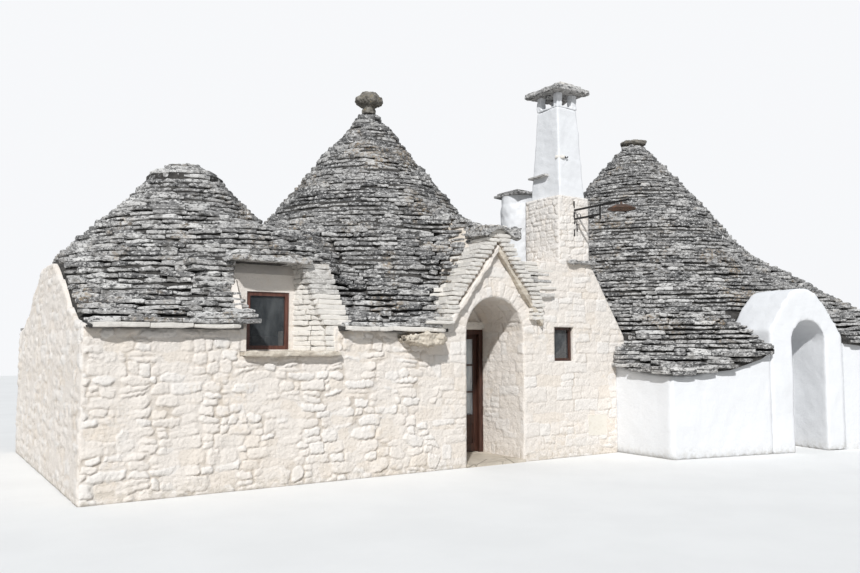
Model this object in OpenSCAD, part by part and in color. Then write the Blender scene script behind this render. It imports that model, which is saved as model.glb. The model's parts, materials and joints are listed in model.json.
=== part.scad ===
// Trullo house: three dry stone cones over one whitewashed street front.
// Millimetres. X runs along the street front, Y runs into the house, Z is up.
// The origin is on the ground, in the middle of the porch mouth.

/* [Plan] */

// left end of the street front
left_end = -5550; // [-5800:50:-5300]
// corner between the stone front and the white block
stone_end = 2450; // [2350:10:2550]
// right end at the party wall
right_end = 8050; // [7800:50:8300]
// thickness of the stone front
front_t = 800; // [700:10:900]
// thickness of the party walls
party_t = 450; // [350:10:550]
// thickness of the white walls
white_t = 550; // [450:10:650]
// back face behind the left room
back_left_y = 5350; // [5250:10:5450]
// back face behind the other rooms
back_y = 6100; // [6000:10:6200]
// how far the white block steps forward
block_step = 1110; // [1000:10:1200]
// turn of the white street wall
block_turn = 12; // [10:0.5:14]
// floor slab thickness
floor_t = 40; // [30:5:60]

/* [Walls] */

// top of the stone walls
eave_z = 1880; // [1850:5:1900]
// top of the back wall behind the right room
right_eave_z = 1650; // [1600:10:1680]
// top of the white wall at its outer corner
white_eave_z = 1230; // [1200:10:1260]
// thickness of the back walls
back_t = 700; // [600:10:750]

/* [Roofs] */

// roof overhang past the front
eave_out = 120; // [80:10:160]
// roof depth over a room
shell_t = 450; // [400:10:500]
// left cone centre along the front
left_cx = -3750; // [-3850:10:-3650]
// left cone centre depth
left_cy = 2620; // [2550:10:2700]
// middle cone centre along the front
mid_cx = -450; // [-530:10:-370]
// middle cone centre depth
mid_cy = 2990; // [2900:10:3080]
// right cone centre along the front
right_cx = 5940; // [5850:10:6030]
// right cone centre depth
right_cy = 2690; // [2600:10:2780]
// run of one band of stone courses up a cone
band_run = 450; // [400:50:600]
// how far a band oversails the next one
band_lip = 50; // [40:5:60]

/* [Porch] */

// half of the porch mouth
porch_r = 530; // [490:5:570]
// outer half width of the porch
porch_hw = 830; // [800:5:860]
// height where the arch begins
spring_z = 1870; // [1820:10:1920]
// depth of the porch to the door
porch_d = 1000; // [950:10:1050]
// depth of the door surround
reveal_t = 120; // [110:5:140]
// height of the gable ridge
gable_z = 3070; // [3020:10:3120]
// height of the gable foot
gable_foot_z = 2060; // [2020:10:2100]
// slope of the gable ridge
gable_rise = 18; // [15:1:21]
// depth of the roof over the gable
gable_t = 110; // [90:5:130]

/* [Door] */

// top of the door frame
door_top = 1950; // [1930:5:1970]
// width of the frame timber
frame_w = 55; // [45:5:60]
// thickness of the door leaf
leaf_t = 45; // [40:1:50]
// gap around the door leaf
leaf_gap = 7; // [6:1:8]

/* [Window wall] */

// top of the raised wall
raised_z = 2970; // [2920:10:3020]
// left side of the small window
win_x = 1130; // [1080:10:1180]
// width of the small window
win_w = 400; // [360:10:440]
// sill height of the small window
win_z = 1460; // [1420:10:1500]
// height of the small window
win_h = 520; // [480:10:560]

/* [Chimney] */

// left face of the stack
stack_x = 1260; // [1230:10:1290]
// width of the stack
stack_w = 620; // [600:10:650]
// depth of the stack
stack_d = 780; // [760:10:800]
// top of the stone stack
stack_top = 4030; // [3980:10:4080]
// top of the plastered shaft
shaft_top = 5470; // [5420:10:5520]
// top of the smoke posts
post_top = 5710; // [5690:10:5740]

/* [Dormer] */

// left side of the recess
niche_x = -3750; // [-3800:10:-3700]
// right side of the recess at its mouth
niche_mouth_x = -2570; // [-2600:10:-2550]
// right side of the recess at the window
niche_back_x = -2800; // [-2850:10:-2750]
// depth of the recess
niche_d = 450; // [400:10:480]
// height of the sill top
niche_z = 1620; // [1600:10:1640]
// underside of the lintel
lintel_z = 2720; // [2690:10:2750]

/* [Hidden] */

big = 20000;
cut = 5;
seam = 1;
fit = 0.5;
round_fn = 240;
// direction in which the turned surfaces close, away from the valleys
seam_turn = 20;
small_fn = 32;

// walls: raised wall steps, return to the white block, party wall ridges
valley_left = -2530;
return_t = 500;
return_out = 60;
step_z = 1600;
step_w = 190;
step_top = 1830;
raised_flat = 1910;
ridge_left_z = 2560;
ridge_right_z = 3200;

// gable: ribs under its roof, capping slab over its peak
gable_pitch = (gable_z - gable_foot_z) / porch_hw;
gable_lean = sqrt(1 + gable_pitch * gable_pitch);
rib_w = 130;
rib_out = 100;
peak_x0 = -290;
peak_x1 = 380;
peak_out = 170;
peak_back = 330;
peak_rise = 160;
peak_h = 350;
peak_pitch = 1.1;

// door leaf, its glass, hinges and handle
leaf_bottom = floor_t + 10;
leaf_top = door_top - frame_w - leaf_gap;
leaf_y = porch_d + reveal_t - leaf_t;
leaf_left = -porch_r + frame_w + leaf_gap;
leaf_right = porch_r - frame_w - leaf_gap + 2;
rebate = 20;
rebate_y = 50;
stile_w = 80;
rail_h = 90;
lock_rail_z = 540;
door_glass_z = lock_rail_z + 80;
door_bar = 24;
door_bar_t = 16;
door_bar_zs = [960, 1380];
glass_t = 6;
panel_sink = 15;
pin_x = porch_r - frame_w - 2.5;
pin_y = porch_d + reveal_t + 11;
pin_r = 5;
pin_play = 0.05;
knuckle_r = 9;
knuckle_h = 60;
hinge_leaf_t = 6;
hinge_leaf_w = 45;
hinge_zs = [300, 1560];
handle_z = 1060;
handle_plate = [36, 5, 160];
handle_r = 8;
handle_out = 40;
handle_len = 115;

// windows and meter door
casement_t = 55;
win_y = 60;
win_bar = 45;
light_x = niche_x + 170;
light_w = 570;
light_z = niche_z + 20;
light_h = 730;
light_bar = 50;
light_d = 1100;
meter = [1820, 2210, 300, 620];
meter_t = 16;

// chimney: plans are x0, x1, y0, y1
ledge_x0 = stack_x + 140;
ledge_x1 = stack_x + stack_w + 120;
ledge_out = 80;
ledge_back = 300;
ledge_t = 50;
shaft_foot = [stack_x + 50, stack_x + stack_w - 40, 30, stack_d - 80];
shaft_head = [stack_x + 70, stack_x + stack_w - 140, 80, stack_d - 220];
post_w = 100;
vent_floor = 30;
cap_plan = [stack_x - 80, stack_x + stack_w + 20, -60, stack_d - 80];
cap_crown = [stack_x + 170, stack_x + stack_w - 230, 180, stack_d - 320];
cap_t = 70;
cap_rise = 100;
flue_x = 1535;
flue_y = 1300;
flue_r = 310;
flue_z = 3970;
flue_foot = 1900;

// lamp arm
arm_x = 1570;
arm_z = 3800;
arm_reach = 1150;
arm_t = 16;
arm_h = 30;
stay_reach = 580;
stay_z = 3660;
stay_drop = 60;
back_bar_t = 20;
back_bar_h = 550;
dish_y = -1000;

// dormer
cheek_t = 80;
cheek_rake = 57;
cheek_z = 1900;
dormer_y = 600;
sill_t = 60;
sill_out = 110;
sill_ends = [60, 50];
lintel_t = 70;
lintel_y = 290;
hood_cx = -3150;
hood_cy = 2300;
hood_left = 370;
hood_right = 300;

// slab that sticks out beside the porch
tongue = [-1630, -980, 1700, 1850];
tongue_out = 280;

// white block
arch_w = 700;
arch_spring = 1750;
arch_s = 2735;
gable_s0 = 1940;
gable_s1 = 3470;
white_d = 900;
panel_t = 80;
strip_end = 7000;
skirt_lift = 70;
skirt_dx = 910;
skirt_dy = -340;
// profiles along the white wall, from its outer corner
gable_profile = [[gable_s0, 0], [gable_s1, 0], [gable_s1, 1850], [3330, 2060],
  [3110, 2360], [2900, 2560], [2720, 2630], [2520, 2610], [2400, 2560],
  [2210, 2350], [gable_s0, 1940]];
corner_profile = [[0, 0], [gable_s0, 0], [gable_s0, white_eave_z + 410],
  [1680, white_eave_z + 320], [1360, white_eave_z + 230],
  [1050, white_eave_z + 150], [760, white_eave_z + 70], [0, white_eave_z]];
strip_profile = [[gable_s1, 0], [strip_end, 0], [strip_end, 1290], [5725, 1480],
  [3900, 1760], [gable_s1, 1740]];
// profiles into the house
return_profile = [[-block_step - 400, 0], [front_t, 0], [front_t, step_z - 100],
  [0, white_eave_z + 160], [-block_step / 2, white_eave_z + 60],
  [-block_step - 400, white_eave_z]];
end_profile = [[-block_step - 1900, 0], [back_y, 0], [back_y, right_eave_z],
  [back_y - back_t, right_eave_z + 200], [right_cy - 290, ridge_right_z],
  [-1000, 2000], [-block_step - 1190, 1480], [-block_step - 1900, 1480]];

// cone outlines as radius and height, from the shoulder up
reach_spare = 20;
mid_apron = 950;
left_reach = norm([left_cx - left_end, back_left_y + eave_out - left_cy])
  + reach_spare;
left_outline = [[2800, 1980], [2500, 2130], [2090, 2500], [1580, 3000],
  [1080, 3500], [570, 4050], [520, 4200], [260, 4210], [240, 4330]];
mid_reach = norm([stone_end - mid_cx, back_y + eave_out - mid_cy]) + mid_apron;
mid_top = 5760;
mid_outline = [[3180, 2030], [2960, 2200], [2330, 3000], [1550, 4000],
  [750, 5000], [133, mid_top]];
right_reach = norm([right_end - right_cx,
  right_cy - white_y(right_end) + eave_out]) + reach_spare;
right_top = 6000;
right_outline = [[5200, 1330], [4650, 1450], [4400, 1640], [4050, 1870],
  [3300, 2500], [2750, 3000], [2270, 3500], [1890, 4000], [1100, 5000],
  [215, right_top]];
skirt_outline = [[5800, 990], [0, 4470]];
hood_outline = [[2000, lintel_z - 20], [1900, lintel_z + 70], [1290, 3300]];
mid_finial_outline = [[0, 0], [118, 0], [108, 140], [195, 160], [238, 215],
  [232, 290], [140, 370], [0, 390]];
right_finial_outline = [[0, 0], [212, 0], [212, 45], [368, 55], [375, 120], [210, 158],
  [0, 165]];

// a box from its two corners
module block(x0, x1, y0, y1, z0, z1) {
  translate([x0, y0, z0]) cube([x1 - x0, y1 - y0, z1 - z0]);
}

// a block from one plan to another, each x0, x1, y0, y1
module tapered(a, z0, b, z1) {
  polyhedron(
    points = [[a[0], a[2], z0], [a[1], a[2], z0], [a[1], a[3], z0],
      [a[0], a[3], z0], [b[0], b[2], z1], [b[1], b[2], z1], [b[1], b[3], z1],
      [b[0], b[3], z1]],
    faces = [[0, 1, 2, 3], [7, 6, 5, 4], [0, 4, 5, 1], [1, 5, 6, 2],
      [2, 6, 7, 3], [3, 7, 4, 0]]);
}

// a shape drawn in X and Z, pushed from y0 to y1
module upright(y0, y1) {
  translate([0, y1, 0]) rotate([90, 0, 0]) linear_extrude(y1 - y0) children();
}

// local frame of the white street wall: X along it, Y into the house
module on_white() {
  translate([stone_end, -block_step, 0]) rotate([0, 0, -block_turn]) children();
}

function white_y(x) = -block_step - tan(block_turn) * (x - stone_end);

module outline() {
  polygon([[left_end, 0], [stone_end, 0], [stone_end, -block_step],
    [right_end, white_y(right_end)], [right_end, back_y],
    [valley_left, back_y], [valley_left, back_left_y],
    [left_end, back_left_y]]);
}

module outline_eaves() {
  polygon([[left_end, -eave_out], [stone_end - return_out, -eave_out],
    [stone_end - return_out, -block_step - return_out],
    [right_end, white_y(right_end) - return_out], [right_end, back_y + eave_out],
    [valley_left - eave_out, back_y + eave_out],
    [valley_left - eave_out, back_left_y + eave_out],
    [left_end, back_left_y + eave_out]]);
}

// inside of the walls, grown by g
module rooms(g = 0) {
  x0 = left_end + party_t - g;
  x1 = stone_end + return_t - g;
  x2 = right_end - party_t + g;
  xb = valley_left + party_t - g;
  inner = white_t / cos(block_turn) - g;
  difference() {
    polygon([[x0, front_t - g], [x1, front_t - g], [x1, white_y(x1) + inner],
      [x2, white_y(x2) + inner], [x2, back_y - back_t + g],
      [xb, back_y - back_t + g], [xb, back_left_y - back_t + g],
      [x0, back_left_y - back_t + g]]);
    translate([-porch_hw + g, -cut])
      square([2 * (porch_hw - g), porch_d + reveal_t - g + cut]);
    on_white2d() translate([gable_s0 + g, 0])
      square([gable_s1 - gable_s0 - 2 * g, white_d - g]);
  }
}

module on_white2d() {
  translate([stone_end, -block_step]) rotate(-block_turn) children();
}

// outline of a corbelled cone, whose bands of courses oversail one another
function coursed(o) = [
  for (i = [0 : len(o) - 2])
    let (a = o[i], b = o[i + 1], n = max(1, round(norm(b - a) / band_run)))
      for (k = [0 : n - 1])
        each [a + (b - a) * k / n - [band_lip / 2, 0],
          a + (b - a) * (k + 1) / n + [band_lip / 2, 0]]
];

// roof surfaces as solids down to the ground
module turned(cx, cy, outline) {
  last = outline[len(outline) - 1];
  translate([cx, cy, 0]) rotate([0, 0, seam_turn]) rotate_extrude($fn = round_fn)
    polygon(concat([[0, 0], [outline[0].x, 0]], outline,
      last.x > 0 ? [[0, last.y]] : []));
}

module left_cone(o = left_outline) {
  turned(left_cx, left_cy, concat([[left_reach, eave_z + cut]], o));
}

module middle_cone(o = mid_outline) {
  turned(mid_cx, mid_cy, concat([[mid_reach, eave_z + cut]], o));
}

module right_cone(o = right_outline) {
  turned(right_cx, right_cy,
    concat([[right_reach, white_eave_z + skirt_lift]], o));
}

// outsides of the roofs, in bands, and the smooth vaults under them
module left_solid() {
  left_cone(coursed(left_outline));
  middle_cone(coursed(mid_outline));
}

module left_vault() {
  left_cone();
  middle_cone();
}

module middle_solid() {
  left_solid();
  right_cone(coursed(right_outline));
}

module middle_vault() {
  left_vault();
  right_cone();
}

// the right cone, its low shoulder and the valley behind the raised wall
module right_solid() {
  right_cone(coursed(right_outline));
  turned(right_cx + skirt_dx, right_cy + skirt_dy, skirt_outline);
  intersection() {
    middle_cone(coursed(mid_outline));
    block(-big, big, 0, big, 0, big);
  }
}

// a roof over the walls from height z0: the first shape is its outside,
// the second, lowered, its vaults over the rooms
module roof_shell(x0, x1, z0) {
  difference() {
    intersection() {
      children(0);
      linear_extrude(big) outline_eaves();
      block(x0, x1, -big, big, z0, big);
    }
    intersection() {
      translate([0, 0, -shell_t]) children(1);
      linear_extrude(big) rooms(seam);
    }
  }
}

// porch gable as a sloping prism, grown by t outwards
module gable_prism(t, y0, y1) {
  reach = porch_hw + t;
  top = gable_z + t * gable_lean;
  side = top - gable_pitch * reach;
  intersection() {
    rotate([gable_rise, 0, 0]) upright(-porch_d, 2600)
      polygon([[-reach, 0], [reach, 0], [reach, side], [0, top], [-reach, side]]);
    block(-reach, porch_hw, y0, y1, spring_z, big);
  }
}

module porch_box(z0) {
  block(-porch_hw, porch_hw, 0, porch_d + reveal_t, z0, big);
}

// outline of the raised wall, from the front face to its back
module raised_mass() {
  upright(0, front_t) polygon([[porch_hw, 0], [stone_end, 0],
    [stone_end, step_z], [stone_end + step_w, step_z],
    [stone_end + step_w, step_top], [raised_flat, raised_z],
    [porch_hw, raised_z]]);
}

module niche_hollow() {
  translate([0, 0, niche_z]) linear_extrude(lintel_z - niche_z)
    polygon([[niche_x, -cut], [niche_mouth_x, -cut],
      [niche_back_x, niche_d], [niche_x, niche_d]]);
}

module dormer_light() {
  block(light_x, light_x + light_w, niche_d - cut, light_d, light_z,
    light_z + light_h);
}

module dormer_zone(y1) {
  block(niche_x - cheek_t, valley_left, -400, y1, niche_z - sill_t, big);
}

// walls

module floor() {
  color("silver") union() {
    linear_extrude(floor_t) rooms();
    block(-porch_r, porch_r, -30, porch_d + reveal_t, 0, floor_t);
  }
}

module left_party_wall() {
  color("ivory") translate([left_end, 0, 0]) rotate([90, 0, 90])
    linear_extrude(party_t) polygon([[front_t, 0],
      [back_left_y - back_t, 0], [back_left_y - back_t, eave_z],
      [left_cy, ridge_left_z], [front_t, eave_z]]);
}

module front_wall_left() {
  color("ivory") difference() {
    block(left_end, valley_left, 0, front_t, 0, eave_z);
    dormer_zone(dormer_y);
    dormer_light();
  }
}

module front_wall_middle() {
  color("ivory") block(valley_left, -porch_hw, 0, front_t, 0, eave_z);
}

module porch_left_pier() {
  color("ivory") block(-porch_hw, -porch_r, 0, porch_d + reveal_t, 0, spring_z);
}

module porch_right_pier() {
  color("ivory") block(porch_r, porch_hw, 0, porch_d + reveal_t, 0, spring_z);
}

module porch_gable() {
  color("ivory") difference() {
    intersection() {
      porch_box(spring_z);
      gable_prism(0, 0, porch_d + reveal_t);
    }
    translate([0, 0, spring_z]) rotate([90, 0, 0])
      cylinder(r = porch_r, h = big, center = true, $fn = round_fn);
  }
}

module rib(side) {
  w = rib_w * gable_lean;
  upright(-rib_out, 0) polygon([[0, gable_z], [side * porch_hw, gable_foot_z],
    [side * porch_hw, gable_foot_z - w], [0, gable_z - w]]);
}

module gable_rib_left() {
  color("beige") rib(-1);
}

module gable_rib_right() {
  color("beige") rib(1);
}

module gable_cap_slab() {
  color("gray") difference() {
    block(peak_x0, peak_x1, -peak_out, peak_back, gable_z, gable_z + peak_h);
    gable_prism(gable_t, -big, big);
    upright(-porch_d, porch_d) polygon([[0, gable_z + peak_rise],
      [-big, gable_z + peak_rise - peak_pitch * big],
      [big, gable_z + peak_rise - peak_pitch * big]]);
  }
}

module porch_roof() {
  color("gray") difference() {
    gable_prism(gable_t, -return_out, 1900);
    gable_prism(0, -big, porch_d + reveal_t);
    translate([0, 0, fit]) middle_cone(coursed(mid_outline));
  }
}

module door_head_wall() {
  color("ivory") intersection() {
    translate([0, porch_d + reveal_t, spring_z]) rotate([90, 0, 0])
      cylinder(r = porch_r, h = reveal_t, $fn = round_fn);
    block(-porch_r, porch_r, 0, big, door_top, big);
  }
}

// door

// fixed half of a door hinge, with its pin
module frame_hinge(z) {
  y = porch_d + reveal_t;
  block(pin_x, pin_x + hinge_leaf_w, y, y + hinge_leaf_t, z - knuckle_h, z);
  translate([pin_x, pin_y, z - knuckle_h])
    cylinder(r = knuckle_r, h = knuckle_h, $fn = small_fn);
  translate([pin_x, pin_y, z]) cylinder(r = pin_r, h = knuckle_h - 2, $fn = small_fn);
}

// moving half of a door hinge
module leaf_hinge(z) {
  y = porch_d + reveal_t;
  block(pin_x - hinge_leaf_w, pin_x, y, y + hinge_leaf_t - 0.5, z, z + knuckle_h);
  translate([pin_x, pin_y, z]) cylinder(r = knuckle_r, h = knuckle_h, $fn = small_fn);
}

module door_frame() {
  half = porch_r - frame_w;
  color("sienna") union() {
    for (z = hinge_zs) frame_hinge(z);
    difference() {
      intersection() {
        block(-porch_r, porch_r, porch_d, porch_d + reveal_t, floor_t, door_top);
        upright(porch_d, porch_d + reveal_t) union() {
          translate([-porch_r, 0]) square([2 * porch_r, spring_z]);
          translate([0, spring_z]) circle(r = porch_r, $fn = round_fn);
        }
      }
      block(-half, half, porch_d + rebate_y, big, 0, door_top - frame_w);
      block(rebate - half, half - rebate, 0, big, 0, door_top - frame_w - rebate);
    }
  }
}

module door_leaf() {
  color("saddlebrown") difference() {
    union() {
      block(leaf_left, leaf_right, leaf_y, leaf_y + leaf_t, leaf_bottom, leaf_top);
      for (z = hinge_zs) leaf_hinge(z);
    }
    for (z = hinge_zs) translate([pin_x, pin_y, z - cut])
      cylinder(r = pin_r + pin_play, h = knuckle_h + 2 * cut, $fn = small_fn);
    difference() {
      block(leaf_left + stile_w, leaf_right - stile_w, 0, big, door_glass_z,
        leaf_top - rail_h);
      for (z = door_bar_zs)
        block(leaf_left, leaf_right, leaf_y, leaf_y + door_bar_t, z, z + door_bar);
    }
    block(leaf_left + stile_w, leaf_right - stile_w, 0, leaf_y + panel_sink,
      leaf_bottom + 120, lock_rail_z - 60);
  }
}

module door_glass() {
  color("lightblue") block(leaf_left + stile_w, leaf_right - stile_w,
    leaf_y + 20, leaf_y + 20 + glass_t, door_glass_z, leaf_top - rail_h);
}

module door_handle() {
  x = leaf_left + stile_w / 2;
  color("dimgray") union() {
    translate([x - handle_plate.x / 2, leaf_y - handle_plate.y, handle_z - 100])
      cube(handle_plate);
    translate([x, leaf_y - handle_plate.y, handle_z]) rotate([90, 0, 0])
      cylinder(r = handle_r + 1, h = handle_out - handle_plate.y, $fn = small_fn);
    translate([x - handle_r - 1, leaf_y - handle_out, handle_z]) rotate([0, 90, 0])
      cylinder(r = handle_r, h = handle_len, $fn = small_fn);
  }
}

// raised wall with the small window

module window_wall() {
  color("ivory") difference() {
    raised_mass();
    block(win_x, win_x + win_w, -cut, front_t + cut, win_z, win_z + win_h);
    gable_prism(gable_t, -big, big);
  }
}

// a window frame with bars of one width, and the pane inside it
module casement(x, w, z, h, y, bar) {
  difference() {
    block(x, x + w, y, y + casement_t, z, z + h);
    block(x + bar, x + w - bar, y - cut, y + casement_t + cut, z + bar, z + h - bar);
  }
}

module pane(x, w, z, h, y, bar) {
  block(x + bar, x + w - bar, y + 25, y + 25 + glass_t, z + bar, z + h - bar);
}

module window_frame() {
  color("saddlebrown") casement(win_x, win_w, win_z, win_h, win_y, win_bar);
}

module window_glass() {
  color("lightblue") pane(win_x, win_w, win_z, win_h, win_y, win_bar);
}

module meter_door() {
  color("ivory") block(meter[0], meter[1], -meter_t, 0, meter[2], meter[3]);
}

module ledge_slab() {
  color("gray") difference() {
    block(ledge_x0, ledge_x1, -ledge_out, ledge_back, raised_z, raised_z + ledge_t);
    block(stack_x, stack_x + stack_w, 0, stack_d, 0, big);
  }
}

// chimney

module chimney_base() {
  color("ivory") block(stack_x, stack_x + stack_w, 0, stack_d, raised_z, stack_top);
}

module chimney_shaft() {
  color("white") tapered(shaft_foot, stack_top, shaft_head, shaft_top);
}

// four corner posts on a thin floor
module chimney_vent() {
  h = shaft_head;
  color("ivory") difference() {
    block(h[0], h[1], h[2], h[3], shaft_top, post_top);
    block(0, big, h[2] + post_w, h[3] - post_w, shaft_top + vent_floor, big);
    block(h[0] + post_w, h[1] - post_w, 0, big, shaft_top + vent_floor, big);
  }
}

module chimney_cap() {
  c = cap_plan;
  top = post_top + cap_t;
  color("gray") union() {
    block(c[0], c[1], c[2], c[3], post_top, top);
    tapered(cap_plan, top, cap_crown, top + cap_rise);
  }
}

module flue_shoulder() {
  color("white") difference() {
    translate([flue_x, flue_y, 0]) union() {
      translate([0, 0, flue_foot])
        cylinder(r = flue_r, h = flue_z - flue_foot, $fn = round_fn);
      translate([0, 0, flue_z]) sphere(r = flue_r, $fn = 96);
    }
    translate([0, 0, fit]) middle_cone(coursed(mid_outline));
  }
}

// wall bar, arm, and the stay under it
module lamp_bracket() {
  w = back_bar_t / 2;
  t = arm_t / 2;
  color("dimgray") union() {
    block(arm_x - w, arm_x + w, -back_bar_t, 0, arm_z + 160 - back_bar_h, arm_z + 160);
    block(arm_x - t, arm_x + t, -arm_reach, -back_bar_t, arm_z, arm_z + arm_h);
    block(arm_x - t, arm_x + t, -stay_reach, -back_bar_t, stay_z, stay_z + arm_h);
    block(arm_x - t, arm_x + t, -stay_reach, 20 - stay_reach, stay_z - stay_drop, arm_z);
  }
}

module lamp_dish() {
  color("peru") translate([arm_x, dish_y, arm_z]) rotate_extrude($fn = 64)
    polygon([[0, 0], [15, 0], [18, -35], [120, -55], [205, -100], [205, -108],
      [118, -64], [0, -48]]);
}

// dormer

module dormer_niche() {
  color("ivory") difference() {
    intersection() {
      block(niche_x - cheek_t, valley_left, 0, dormer_y, niche_z - sill_t, lintel_z);
      translate([0, 0, cheek_z]) rotate([cheek_rake, 0, 0])
        block(-big, big, -big, big, -big, 0);
    }
    niche_hollow();
    dormer_light();
    block(niche_x - cut - cheek_t, valley_left + cut, -cut, niche_d, 0, niche_z);
  }
}

module dormer_hood() {
  x0 = niche_x - cheek_t - 20;
  x1 = niche_back_x - 40;
  color("gray") difference() {
    union() {
      block(x0, x1, lintel_y, dormer_y + 100, lintel_z, lintel_z + lintel_t);
      intersection() {
        turned(hood_cx, hood_cy, hood_outline);
        block(x0 - hood_left, valley_left + hood_right, lintel_y + 10, hood_cy,
          lintel_z, big);
      }
    }
    translate([0, 0, fit]) left_solid();
  }
}

module dormer_frame() {
  color("brown") casement(light_x, light_w, light_z, light_h, niche_d + 20, light_bar);
}

module dormer_glass() {
  color("lightblue") pane(light_x, light_w, light_z, light_h, niche_d + 20, light_bar);
}

module dormer_sill() {
  color("beige") union() {
    block(niche_x - sill_ends[0], niche_mouth_x + sill_ends[1], -sill_out, 0,
      niche_z - sill_t, niche_z);
    block(niche_x - cheek_t, valley_left, -cut, niche_d, niche_z - sill_t, niche_z);
  }
}

module projecting_slab() {
  color("beige") block(tongue[0], tongue[1], -tongue_out, 0, tongue[2], tongue[3]);
}

// white block

// white corner, reaching o past its outer faces
module corner_mass(o) {
  on_white() upright(-o, white_t) polygon(corner_profile);
  intersection() {
    linear_extrude(big) polygon([[stone_end - o, white_y(stone_end) - o],
      [stone_end + return_t, white_y(stone_end + return_t) - o],
      [stone_end + return_t, front_t], [stone_end - o, front_t]]);
    translate([stone_end - o, 0, 0]) rotate([90, 0, 90])
      linear_extrude(return_t + o) polygon(return_profile);
  }
}

module white_corner_wall() {
  color("white") corner_mass(0);
}

module white_gable_wall() {
  color("white") on_white() difference() {
    upright(0, white_d) polygon(gable_profile);
    upright(-cut, white_d + cut) union() {
      translate([arch_s - arch_w / 2, -cut]) square([arch_w, arch_spring + cut]);
      translate([arch_s, arch_spring]) circle(r = arch_w / 2, $fn = 96);
    }
  }
}

module arch_panel() {
  color("white") on_white() upright(white_d - panel_t, white_d) union() {
    translate([arch_s - arch_w / 2, 0]) square([arch_w, arch_spring]);
    intersection() {
      translate([arch_s, arch_spring]) circle(r = arch_w / 2, $fn = 96);
      translate([arch_s - arch_w / 2, arch_spring]) square([arch_w, arch_w]);
    }
  }
}

// street wall past the gable, reaching o past its outer face
module end_strip(o) {
  intersection() {
    on_white() upright(-o, white_t) polygon(strip_profile);
    block(0, right_end, -big, big, 0, big);
  }
}

// end wall of the right room, in profile
module end_mass() {
  translate([right_end - party_t, 0, 0]) rotate([90, 0, 90])
    linear_extrude(party_t) polygon(end_profile);
}

module right_end_wall() {
  color("ivory") union() {
    end_strip(0);
    intersection() {
      end_mass();
      linear_extrude(big) outline();
    }
  }
}

module back_wall_left() {
  color("ivory")
    block(left_end, valley_left, back_left_y - back_t, back_left_y, 0, eave_z);
}

module back_wall_right() {
  color("ivory") union() {
    block(valley_left, valley_left + party_t, back_left_y - back_t, back_y, 0, eave_z);
    block(valley_left, stone_end, back_y - back_t, back_y, 0, eave_z);
    block(stone_end - cut, right_end - party_t, back_y - back_t, back_y, 0,
      right_eave_z);
  }
}

// roofs

module left_roof() {
  color("gray") difference() {
    roof_shell(left_end, valley_left, eave_z) {
      left_solid();
      left_vault();
    }
    left_party_wall();
    dormer_zone(dormer_y);
    dormer_light();
  }
}

module middle_roof() {
  color("gray") difference() {
    roof_shell(valley_left, stone_end, eave_z) {
      middle_solid();
      middle_vault();
    }
    gable_prism(0, -big, porch_d + reveal_t);
    block(-porch_hw - gable_t, porch_hw, -big, 0, 0, big);
    block(porch_hw, stone_end, -big, 0, 0, big);
    raised_mass();
  }
}

module right_roof() {
  color("gray") difference() {
    roof_shell(stone_end - return_out, right_end, white_eave_z - 200) {
      right_solid();
      right_cone();
    }
    block(stone_end - 500, stone_end, 0, big, 0, big);
    block(stone_end - cut, big, back_y - back_t, big, 0, right_eave_z);
    raised_mass();
    corner_mass(300);
    end_strip(300);
    end_mass();
    on_white() block(gable_s0 - seam, gable_s1 + seam, -300, white_d + seam, -seam, big);
  }
}

module middle_finial() {
  color("gray") translate([mid_cx, mid_cy, mid_top + fit]) rotate_extrude($fn = 64)
    polygon(mid_finial_outline);
}

module right_finial() {
  color("gray") translate([right_cx, right_cy, right_top + fit]) rotate_extrude($fn = 64)
    polygon(right_finial_outline);
}

floor();
left_party_wall();
front_wall_left();
front_wall_middle();
porch_left_pier();
porch_right_pier();
porch_gable();
gable_rib_left();
gable_rib_right();
gable_cap_slab();
porch_roof();
door_head_wall();
door_frame();
door_leaf();
door_glass();
door_handle();
window_wall();
window_frame();
window_glass();
meter_door();
ledge_slab();
chimney_base();
chimney_shaft();
chimney_vent();
chimney_cap();
flue_shoulder();
lamp_bracket();
lamp_dish();
dormer_niche();
dormer_hood();
dormer_frame();
dormer_glass();
dormer_sill();
projecting_slab();
white_corner_wall();
white_gable_wall();
arch_panel();
right_end_wall();
back_wall_left();
back_wall_right();
left_roof();
middle_roof();
right_roof();
middle_finial();
right_finial();
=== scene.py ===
import json
import math

import bpy
import numpy as np
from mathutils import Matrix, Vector
from mathutils.bvhtree import BVHTree


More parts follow.
